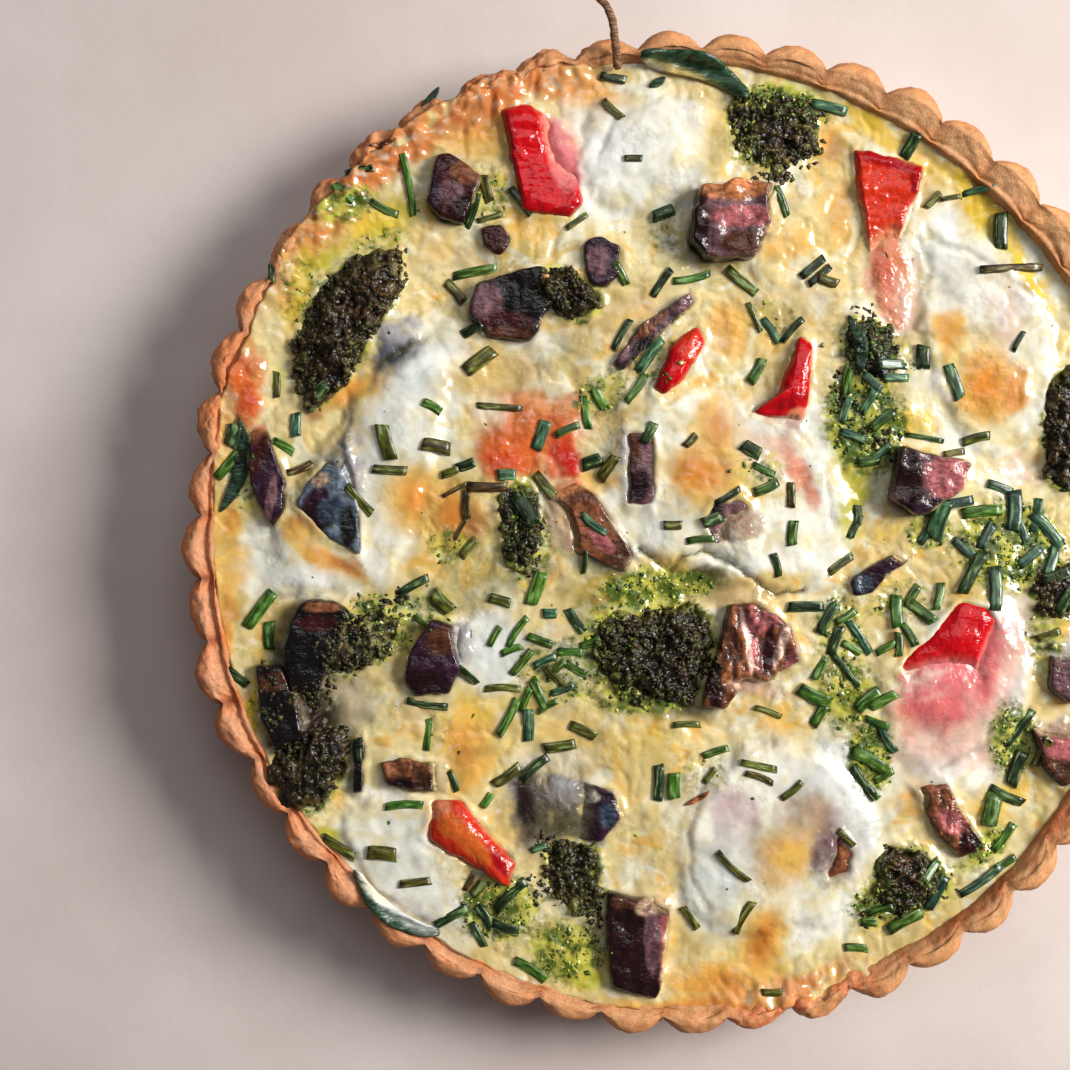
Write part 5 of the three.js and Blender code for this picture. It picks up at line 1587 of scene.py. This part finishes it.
# Where loose crumbs lie thick between the heaps: patch and count
CLUSTERS = [
    (692, 652, 16, 38, 0, 120), (616, 644, 28, 24, 0, 114), (652, 696, 46, 9, 5, 84),
    (712, 668, 10, 24, 10, 42), (312, 694, 22, 14, 0, 90), (334, 655, 12, 34, -10, 66),
    (276, 704, 15, 50, 0, 36), (352, 628, 20, 16, 0, 48), (556, 852, 28, 16, -45, 90),
    (592, 906, 14, 24, 20, 72), (545, 890, 26, 20, 0, 36), (746, 122, 18, 26, 0, 66),
    (802, 152, 22, 18, 0, 66), (772, 178, 28, 9, 0, 48), (812, 112, 20, 9, 0, 30),
    (862, 338, 15, 38, 0, 90), (880, 440, 30, 26, 0, 54), (846, 400, 16, 30, 0, 42),
    (922, 888, 36, 20, 20, 72), (884, 904, 22, 14, 0, 36), (528, 540, 15, 46, 0, 78),
    (560, 292, 26, 14, 0, 54), (308, 372, 16, 36, 20, 48), (400, 270, 10, 22, 0, 24),
    (1056, 600, 22, 22, 0, 48), (395, 606, 26, 16, 30, 42), (250, 760, 9, 22, -20, 24),
]
# How crumbs thin out from the middle of a cluster, as a share of it, and where they end
CLUSTER_SPREAD = 0.42
CLUSTER_END = 0.9
# Crumbs on each square millimetre of a heap, and their least and greatest size
CRUMBS_ON_HEAPS = 0.5
CRUMB_SIZES = (0.4, 1.4)
CRUMB_FLATNESS = 0.35
CRUMB_SINK = 0.6
CRUMB_REACH = 115


def make_crumbs():
    random = np.random.default_rng(8)
    x, y = [], []
    for across, down, wide, tall, turn, count in CLUSTERS:
        spots = random.normal(0, CLUSTER_SPREAD, (2, count)).clip(-CLUSTER_END, CLUSTER_END)
        spots = turned(*(spots * PIXEL * np.array([[wide], [tall]])), math.radians(turn))
        middle = place(across, down)
        x.append(middle[0] + spots[0])
        y.append(middle[1] + spots[1])
    for outline in of_kind("pesto"):
        count = int(area_of(outline.ring) * CRUMBS_ON_HEAPS)
        turn = random.uniform(-math.pi, math.pi, count)
        away = outline.reach(turn) * np.sqrt(random.uniform(0.2, 1.04, count))
        x.append(outline.middle[0] + away * np.cos(turn))
        y.append(outline.middle[1] + away * np.sin(turn))
    x, y = np.concatenate(x), np.concatenate(y)
    keep = np.hypot(x, y) < CRUMB_REACH
    x, y = x[keep], y[keep]
    sizes = random.uniform(*CRUMB_SIZES, len(x))
    points, faces, paint = scattered(x, y, sizes, CRUMB_FLATNESS, CRUMB_TONES, random, CRUMB_SINK)
    graph = Graph("pesto crumbs")
    speck = graph.step(graph.noise(0.4, detail=1), 0.35, 0.65, 0.6, 1.5)
    graph.set(Base_Color=graph.shaded(graph.attribute("paint"), speck), Roughness=0.4)
    add_piece("pesto_crumbs", points, faces, graph.material, (), {"paint": paint})
    return graph.material


FLECK_TONES = [
    (0.035, 0.08, 0.01), (0.06, 0.13, 0.014), (0.1, 0.19, 0.02), (0.2, 0.29, 0.03), (0.38, 0.44, 0.06),
    (0.08, 0.09, 0.014), (0.55, 0.52, 0.2),
]
FLECK_TRIES = 160000
FLECK_REACH = 114
FLECK_FLATNESS = 0.3
FLECK_SINK = 0.5
# The share of tries that leave a fleck, anywhere and in the green patches
FLECKS_ANYWHERE = 0.0005
FLECKS_IN_GREEN = 0.36


def make_flecks(material):
    random = np.random.default_rng(9)
    x, y = random.uniform(-FLECK_REACH, FLECK_REACH, (2, FLECK_TRIES))
    inside = np.hypot(x, y) < FLECK_REACH
    x, y = x[inside], y[inside]
    flat = on_plane(x, y)
    green = patches(flat, GREEN, wobble_at(flat, FILL_WOBBLE))
    crowd = ramp(green + 0.35 * fractal(flat, 2.5, 93, 2), 0.35, 1) ** 1.5
    keep = random.uniform(0, 1, len(x)) < FLECKS_ANYWHERE + FLECKS_IN_GREEN * crowd
    x, y = x[keep], y[keep]
    sizes = 0.3 + 0.8 * random.uniform(0, 1, len(x)) ** 2
    points, faces, paint = scattered(x, y, sizes, FLECK_FLATNESS, FLECK_TONES, random, FLECK_SINK)
    add_piece("herb_flecks", points, faces, material, (), {"paint": paint})


# Chives by tone: across, down, turn in degrees, length and width, in the picture's pixels
CHIVE_TONES = {
    "green": ((0.05, 0.12, 0.012), [
        (345, 195, -40, 25, 10), (385, 208, -25, 30, 9), (475, 272, 10, 45, 11), (620, 275, -60, 25, 10),
        (230, 465, 50, 34, 12), (285, 447, -30, 22, 11), (433, 408, -30, 20, 11), (586, 412, -80, 34, 10),
        (600, 398, -60, 22, 12), (636, 388, 55, 34, 10), (568, 430, 25, 26, 9), (692, 277, 12, 38, 9),
        (757, 370, 62, 27, 12), (765, 487, 25, 26, 12), (763, 470, -25, 24, 8), (848, 380, 85, 30, 12),
        (868, 460, 10, 22, 13), (882, 420, 38, 30, 12), (925, 438, -10, 38, 6), (421, 621, -30, 20, 7),
        (536, 588, 70, 34, 16), (518, 632, 57, 36, 8), (522, 662, 50, 32, 9), (570, 652, 0, 26, 10),
        (539, 693, -65, 32, 11), (428, 734, 85, 32, 8), (508, 717, 62, 41, 10), (405, 805, 3, 38, 10),
        (261, 609, 53, 44, 14), (270, 635, 90, 28, 13), (700, 540, 5, 28, 9), (792, 533, 85, 25, 12),
        (814, 695, -25, 34, 16), (819, 715, 60, 24, 12), (868, 700, 40, 30, 14), (898, 611, 90, 32, 14),
        (921, 612, -40, 30, 14), (983, 512, 5, 40, 14), (993, 811, 75, 30, 20), (1004, 837, 50, 34, 10),
        (905, 921, 30, 38, 14), (869, 923, 0, 16, 10), (856, 948, -5, 23, 10), (674, 785, 90, 26, 15),
        (716, 752, 18, 27, 9), (869, 761, -30, 40, 16), (530, 969, -32, 36, 12), (882, 700, 30, 30, 12),
        (898, 644, 90, 24, 10), (939, 596, 75, 28, 10), (408, 186, 100, 60, 8), (487, 800, 55, 16, 9),
        (540, 640, -20, 26, 10), (556, 668, 40, 24, 9), (512, 650, 20, 22, 9), (526, 700, 70, 26, 9),
        (576, 668, -30, 24, 9), (548, 706, 30, 22, 8), (495, 636, 60, 22, 8), (590, 642, 20, 22, 9),
        (846, 616, 30, 24, 9), (852, 648, -30, 22, 9), (820, 668, 60, 24, 9), (876, 722, -20, 24, 9),
        (884, 776, 30, 22, 9), (872, 790, -50, 22, 9), (908, 634, -60, 26, 10), (914, 596, 60, 24, 10),
        (886, 648, 30, 22, 9), (1004, 862, 30, 24, 9), (880, 910, 20, 26, 9), (930, 870, 50, 26, 10),
    ]),
    "dark": ((0.022, 0.045, 0.012), [
        (273, 275, 90, 18, 9), (613, 79, -10, 26, 10), (521, 202, -53, 34, 9), (472, 212, 70, 34, 9),
        (780, 203, -67, 32, 9), (813, 267, 40, 30, 10), (820, 275, 40, 28, 9), (663, 213, 20, 22, 14),
        (909, 147, 62, 26, 14), (1001, 231, 90, 36, 16), (318, 398, 52, 32, 14), (235, 436, 75, 22, 18),
        (472, 330, 30, 22, 12), (466, 465, 20, 18, 12), (622, 335, 60, 34, 8), (592, 462, 20, 20, 16),
        (525, 510, -60, 35, 18), (648, 433, 62, 22, 12), (662, 283, 55, 32, 9), (793, 330, 48, 31, 8),
        (750, 450, -30, 20, 16), (726, 496, 30, 28, 8), (858, 515, 90, 20, 10), (923, 357, 90, 22, 16),
        (1017, 342, 60, 22, 6), (584, 562, 85, 24, 6), (414, 586, 30, 34, 10), (576, 620, -55, 28, 11),
        (468, 675, -45, 26, 9), (428, 703, -10, 41, 9), (535, 769, 42, 36, 11), (453, 781, -70, 22, 8),
        (360, 748, 90, 23, 8), (239, 677, -40, 24, 11), (711, 520, 20, 20, 14), (775, 565, -75, 24, 9),
        (856, 526, 65, 26, 10), (806, 607, 0, 36, 13), (828, 618, 60, 34, 12), (836, 640, 70, 30, 12),
        (845, 670, -52, 42, 7), (973, 572, 62, 48, 14), (1020, 728, 52, 45, 10), (1019, 769, 70, 36, 16),
        (1008, 796, -25, 36, 12), (658, 782, 88, 36, 12), (864, 782, -55, 40, 12), (452, 915, 28, 36, 11),
        (511, 894, 45, 43, 12), (485, 916, -60, 28, 11), (506, 926, -18, 27, 12), (478, 933, -62, 28, 9),
        (1108, 620, 40, 32, 12), (1110, 385, 75, 30, 12), (1055, 575, 20, 30, 14), (1062, 601, 60, 26, 14),
        (360, 173, 6, 30, 9),
    ]),
    "olive": ((0.085, 0.08, 0.01), [
        (613, 110, -42, 26, 9), (633, 160, 0, 18, 8), (577, 222, 35, 25, 7), (487, 190, -75, 26, 12),
        (490, 218, 15, 26, 7), (933, 200, 45, 20, 8), (950, 198, 10, 20, 6), (277, 385, 90, 26, 8),
        (388, 443, -75, 36, 17), (391, 470, -3, 34, 11), (361, 500, -48, 36, 11), (437, 447, -10, 28, 16),
        (455, 292, -50, 27, 12), (480, 361, 38, 35, 17), (500, 407, -4, 45, 8), (450, 472, 20, 18, 10),
        (545, 485, -50, 30, 12), (608, 468, 55, 28, 14), (742, 281, -40, 38, 12), (828, 280, -20, 22, 12),
        (755, 317, -65, 32, 6), (690, 441, 45, 16, 9), (790, 495, 90, 25, 10), (976, 439, 15, 27, 11),
        (954, 453, 10, 22, 9), (469, 548, 50, 24, 10), (442, 602, -45, 26, 18), (500, 600, -15, 22, 12),
        (556, 677, -45, 30, 10), (503, 689, 0, 36, 9), (583, 731, -25, 28, 12), (560, 746, 8, 32, 13),
        (507, 775, 35, 32, 12), (672, 525, 0, 18, 11), (842, 564, 35, 30, 10), (1048, 635, 20, 24, 10),
        (1041, 751, 70, 30, 12), (758, 765, -12, 37, 9), (758, 777, -20, 30, 8), (791, 789, 40, 26, 8),
        (710, 775, 50, 18, 7), (845, 837, -45, 22, 8), (732, 864, -43, 42, 8), (743, 916, 62, 37, 10),
        (690, 918, -55, 26, 10), (771, 990, 0, 20, 9), (340, 846, -32, 37, 12), (383, 852, -5, 29, 17),
        (416, 880, 6, 31, 10), (478, 887, 50, 18, 12), (687, 725, 0, 28, 8), (768, 712, -20, 28, 7),
    ]),
    "teal": ((0.04, 0.1, 0.055), [
        (829, 108, -12, 37, 12), (977, 192, 10, 30, 8), (772, 330, -55, 30, 9), (650, 355, 55, 40, 13),
        (297, 425, 90, 24, 12), (541, 435, 70, 30, 14), (507, 475, 0, 18, 14), (890, 365, 0, 28, 12),
        (895, 378, 0, 26, 10), (953, 382, -70, 36, 13), (594, 524, -38, 30, 9), (528, 725, 90, 32, 13),
        (545, 661, 25, 24, 9), (563, 689, 20, 24, 9), (550, 613, 0, 14, 12), (993, 588, 88, 44, 15),
        (939, 520, 75, 38, 20), (1015, 510, 88, 40, 18), (1048, 530, -50, 44, 14), (1038, 515, 80, 34, 10),
        (980, 879, 35, 51, 10), (936, 892, 62, 38, 12), (887, 738, -60, 32, 10), (859, 637, -55, 40, 10),
        (1124, 580, -60, 34, 10), (1102, 720, 30, 34, 11), (539, 847, 20, 16, 8), (928, 530, 60, 30, 10),
        (960, 502, 10, 28, 12), (988, 536, 60, 28, 12), (1002, 488, -20, 28, 11), (1030, 556, 40, 28, 12),
        (964, 548, -40, 26, 10), (1052, 560, 70, 28, 12), (1022, 530, -70, 28, 10), (868, 402, 60, 26, 10),
        (852, 436, -20, 26, 10), (880, 452, 40, 24, 9), (846, 410, 70, 26, 10), (872, 382, -40, 24, 10),
    ]),
    "brown": ((0.1, 0.05, 0.014), [
        (1010, 269, 3, 64, 10), (301, 468, 22, 27, 9), (455, 490, 28, 28, 5), (487, 486, 0, 40, 12),
        (467, 505, 90, 28, 10), (461, 529, 60, 25, 5), (470, 880, 60, 20, 7),
    ]),
}
CHIVE_SIDES = 14
CHIVE_STATIONS = 7
CHIVE_HEIGHT = 0.4
CHIVE_LEAST_HEIGHT = 0.9
CHIVE_NARROW = 0.84
CHIVE_SINK = 0.3
CHIVE_BEND = 0.05
CHIVE_SKEW = 0.35
CHIVE_RIDGES = 0.045
CHIVE_SQUARENESS = 0.6
CUT_SHADE = 0.45
# The stations under which the ground is felt, on both sides of the middle line
CHIVE_FEET = [0, 3, 6]
CHIVE_FEET_OUT = 0.3
# Rings of a tube: station, width, and how far it is set in along the tube; the ends are hollow
FIRST_RINGS = [(0, 0.62, 0.9), (0, 0.72, 0)]
LAST_RINGS = [(CHIVE_STATIONS - 1, 0.72, 0), (CHIVE_STATIONS - 1, 0.62, -0.9)]
CHIVE_RINGS = FIRST_RINGS + [(k, 1, 0) for k in range(CHIVE_STATIONS)] + LAST_RINGS


def squared(value):
    """A sine or cosine whose wave is more like a square's."""
    return np.sign(value) * np.abs(value) ** CHIVE_SQUARENESS


def chive_tube(middle, turn, length, width, random):
    """A cut chive: a flattened ridged tube, hollow at its ends, bent a little, as (points, faces)
    and, for each point, the shade of the cut and where it is in the noise of the fine lines."""
    along = np.array([math.cos(turn), math.sin(turn)])
    across = np.array([-along[1], along[0]])
    stations = np.linspace(-0.5, 0.5, CHIVE_STATIONS)
    bend = random.uniform(-CHIVE_BEND, CHIVE_BEND) * length
    path = middle + np.outer(stations * length, along) + np.outer(bend * (1 - 4 * stations ** 2), across)
    sides = np.array([-CHIVE_FEET_OUT, CHIVE_FEET_OUT])[:, None]
    feet = path[CHIVE_FEET][:, None] + sides * width * across
    levels = ground.height(*feet.reshape(-1, 2).T).reshape(len(CHIVE_FEET), 2).mean(axis=1)
    slope, level = np.polyfit(stations[CHIVE_FEET], levels, 1)
    tall = max(CHIVE_HEIGHT * width, CHIVE_LEAST_HEIGHT)
    heights = level + slope * stations + (0.5 - CHIVE_SINK) * tall
    skew = random.uniform(-CHIVE_SKEW, CHIVE_SKEW, 2)
    phase = 2 * math.pi * np.arange(CHIVE_SIDES) / CHIVE_SIDES
    around = np.stack([np.cos(phase), np.sin(phase)], axis=1)
    ridged = 1 + CHIVE_RIDGES * np.where(np.arange(CHIVE_SIDES) % 2, 1, -1)
    layers = []
    for k, wide, inward in CHIVE_RINGS:
        end = k in (0, CHIVE_STATIONS - 1)
        pinch = (0.96 if end else 1) * wide * ridged
        u = 0.5 * width * pinch * squared(around[:, 0])
        v = 0.5 * tall * pinch * squared(around[:, 1])
        slant = skew[0 if k == 0 else 1] * u if end else 0 * u
        flat = path[k] + np.outer(u, across) + np.outer(slant + inward, along)
        layers.append(np.column_stack([flat, heights[k] + v]))
    points = np.concatenate(layers)
    starts = CHIVE_SIDES * np.arange(len(CHIVE_RINGS))
    faces = [strips(after, before, CHIVE_SIDES) for before, after in zip(starts, starts[1:])]
    last = starts[-1]
    ends = [points[:CHIVE_SIDES].mean(axis=0), points[last:].mean(axis=0)]
    points = np.concatenate([points, ends])
    faces += [fan(len(points) - 2, 0, CHIVE_SIDES, True), fan(len(points) - 1, last, CHIVE_SIDES, False)]
    lines = np.array([[0.12 * length * stations[k], *spot] for k, _, _ in CHIVE_RINGS for spot in around])
    lines = np.concatenate([lines, np.zeros((2, 3))]) + random.uniform(0, 90, 3)
    cut = np.ones(len(points))
    cut[:CHIVE_SIDES] = cut[last:] = CUT_SHADE
    return points, np.concatenate(faces), np.column_stack([cut, lines])


def make_chives():
    graph = Graph("chives")
    lines = graph.noise(300, detail=2, where=graph.attribute("lines"))
    # The fine lines are lighter and stand up in relief: partly the chives' own lines, partly painted
    # highlights with painted shade between them
    colour = graph.mix(graph.attribute("paint"), (0.24, 0.34, 0.14), graph.step(lines, 0.56, 0.66, 0, 0.5))
    colour = graph.shaded(colour, graph.step(lines, 0.34, 0.62, 0.3, 1.5))
    graph.set(Base_Color=colour, Roughness=0.27)
    graph.relief(lines, 0.15)
    random = np.random.default_rng(12)
    for tone, (colour, rows) in CHIVE_TONES.items():
        parts = []
        for px, py, turn, length, width in rows:
            points, faces, grain = chive_tube(
                place(px, py), math.radians(turn), length * PIXEL, CHIVE_NARROW * width * PIXEL, random
            )
            tint = np.array(colour) * random.uniform(0.75, 1.35) * random.uniform(0.85, 1.15, 3)
            parts.append((points, faces, np.column_stack([grain[:, :1] * tint, grain[:, 1:]])))
        points, faces, grain = join(parts)
        attributes = {"paint": grain[:, :3], "lines": grain[:, 3:]}
        add_piece(f"chives_{tone}", points, faces, graph.material, (), attributes)


# The wilted leaves and the dried stalk keep their CAD form, cut finer and given relief

LEAF_GREEN = (0.022, 0.06, 0.026)
# Cheese and butter on the leaves: tone and patch
LEAF_PAINT = [
    ("butter", 666, 92, 58, 20, -12), ("milk", 640, 80, 26, 12, 0), ("cream", 704, 106, 34, 16, -32),
    ("butter", 730, 112, 22, 10, -40), ("ice", 400, 896, 44, 14, -40), ("milk", 380, 880, 26, 12, -45),
    ("ice", 430, 912, 24, 8, -20),
]
# Small wilted leaves: across, down, length and width in the picture's pixels, turn
SMALL_LEAVES = [
    (243, 468, 96, 16, 78), (431, 98, 28, 7, 48), (657, 84, 20, 9, 30), (858, 345, 62, 13, 100),
    (384, 146, 30, 6, 12), (697, 798, 30, 5, 30),
]
# The small leaves' tones, and which of them are brown
GREEN_LEAF = [(0.012, 0.03, 0.014), (0.03, 0.06, 0.03)]
BROWN_LEAF = [(0.2, 0.05, 0.02), (0.4, 0.14, 0.04)]
BROWN_LEAVES = (4, 5)
LEAF_RISE = 0.7
LEAF_STEP = 0.45
BARK_DARK = (0.13, 0.045, 0.015)
BARK_LIGHT = (0.38, 0.2, 0.09)


def finer_copy(name, node, material, cuts, swing, cell):
    """A node's mesh with its edges cut `cuts` times and noise of `swing` millimetres on it."""
    mesh = bmesh.new()
    mesh.from_mesh(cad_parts[node].data)
    bmesh.ops.remove_doubles(mesh, verts=mesh.verts, dist=MERGE_DISTANCE)
    bmesh.ops.subdivide_edges(mesh, edges=mesh.edges[:], cuts=cuts, use_grid_fill=True, smooth=0.6)
    bmesh.ops.triangulate(mesh, faces=mesh.faces[:])
    points = np.array([vert.co[:] for vert in mesh.verts]) / MM
    faces = np.array([[vert.index for vert in face.verts] for face in mesh.faces])
    mesh.free()
    points = points + normals_of(points, faces) * (swing * fractal(points, cell, 401, 2))[:, None]
    paint = np.tile(LEAF_GREEN, (len(points), 1))
    wobble = wobble_at(points, 411, 0.5, 0.3)
    bare = np.ones(len(points))
    for tone, *row in LEAF_PAINT:
        share = patch(points, row, wobble, 0.3)
        paint, bare = blend(paint, TONES[tone], share), np.minimum(bare, 1 - share)
    paint = np.column_stack([paint, bare])
    add_piece(name, points, faces, material, [node], {"paint": paint})


def leaf_material():
    graph = Graph("leaf")
    vein = graph.noise(1.6, detail=4, stretch=(30, (1, 4, 1)))
    paint = graph.node("ShaderNodeAttribute", attribute_name="paint").outputs
    colour = graph.shaded(paint["Color"], graph.step(vein, 0.36, 0.66, 0.5, 1.6))
    colour = graph.mix(paint["Color"], colour, paint["Alpha"])
    graph.set(Base_Color=colour, Roughness=0.22)
    graph.relief(vein, 0.35)
    return graph.material


def small_leaf(number, across, down, long, wide, turn):
    """A pointed oval, bent along its length, on what lies below, as (points, faces, paint)."""
    angle = np.linspace(0, 2 * math.pi, 60, endpoint=False)
    pointed = 0.6 + 0.4 * np.abs(np.sin(angle))
    u = 0.5 * long * PIXEL * np.cos(angle)
    v = 0.5 * wide * PIXEL * np.sin(angle) * pointed + 0.02 * u ** 2
    middle = place(across, down)
    ring = middle + np.stack(turned(u, v, math.radians(turn)), axis=1)
    levels = ground.height(*ring.T)

    def height(x, y, share):
        base = np.minimum(ground.height(x, y), levels.max())
        return base + LEAF_RISE + 0.25 * lattice(on_plane(x, y), 2.5, 420 + number)

    points, faces = lump(ring, middle, levels.min() - 0.6, height, 0.4, LEAF_STEP)
    tones = BROWN_LEAF if number in BROWN_LEAVES else GREEN_LEAF
    return points, faces, blend(*tones, ramp(fractal(points, 2, 430 + number, 2), -0.5, 0.8))


def make_leaves():
    material = leaf_material()
    for number in (1, 2):
        finer_copy(f"wilted_leaf_{number}", f"leaf_0{number}", material, 3, 0.12, 2)
    points, faces, paint = join([small_leaf(number, *row) for number, row in enumerate(SMALL_LEAVES)])
    add_piece("small_leaves", points, faces, material, (), {"paint": paint})


def make_stalk():
    graph = Graph("stalk")
    bark = graph.noise(0.9, detail=4, stretch=(80, (1, 4, 1)))
    colour = graph.mix(BARK_DARK, BARK_LIGHT, graph.step(bark, 0.4, 0.65))
    graph.set(Base_Color=colour, Roughness=0.6)
    graph.relief(bark, 0.3)
    finer_copy("dried_stalk", "stalk", graph.material, 2, 0.15, 1.2)


make_camera()
make_surroundings()
make_floor()
make_crust()
make_filling()
make_aubergine()
make_pepper()
make_pesto()
make_flecks(make_crumbs())
make_chives()
make_leaves()
make_stalk()
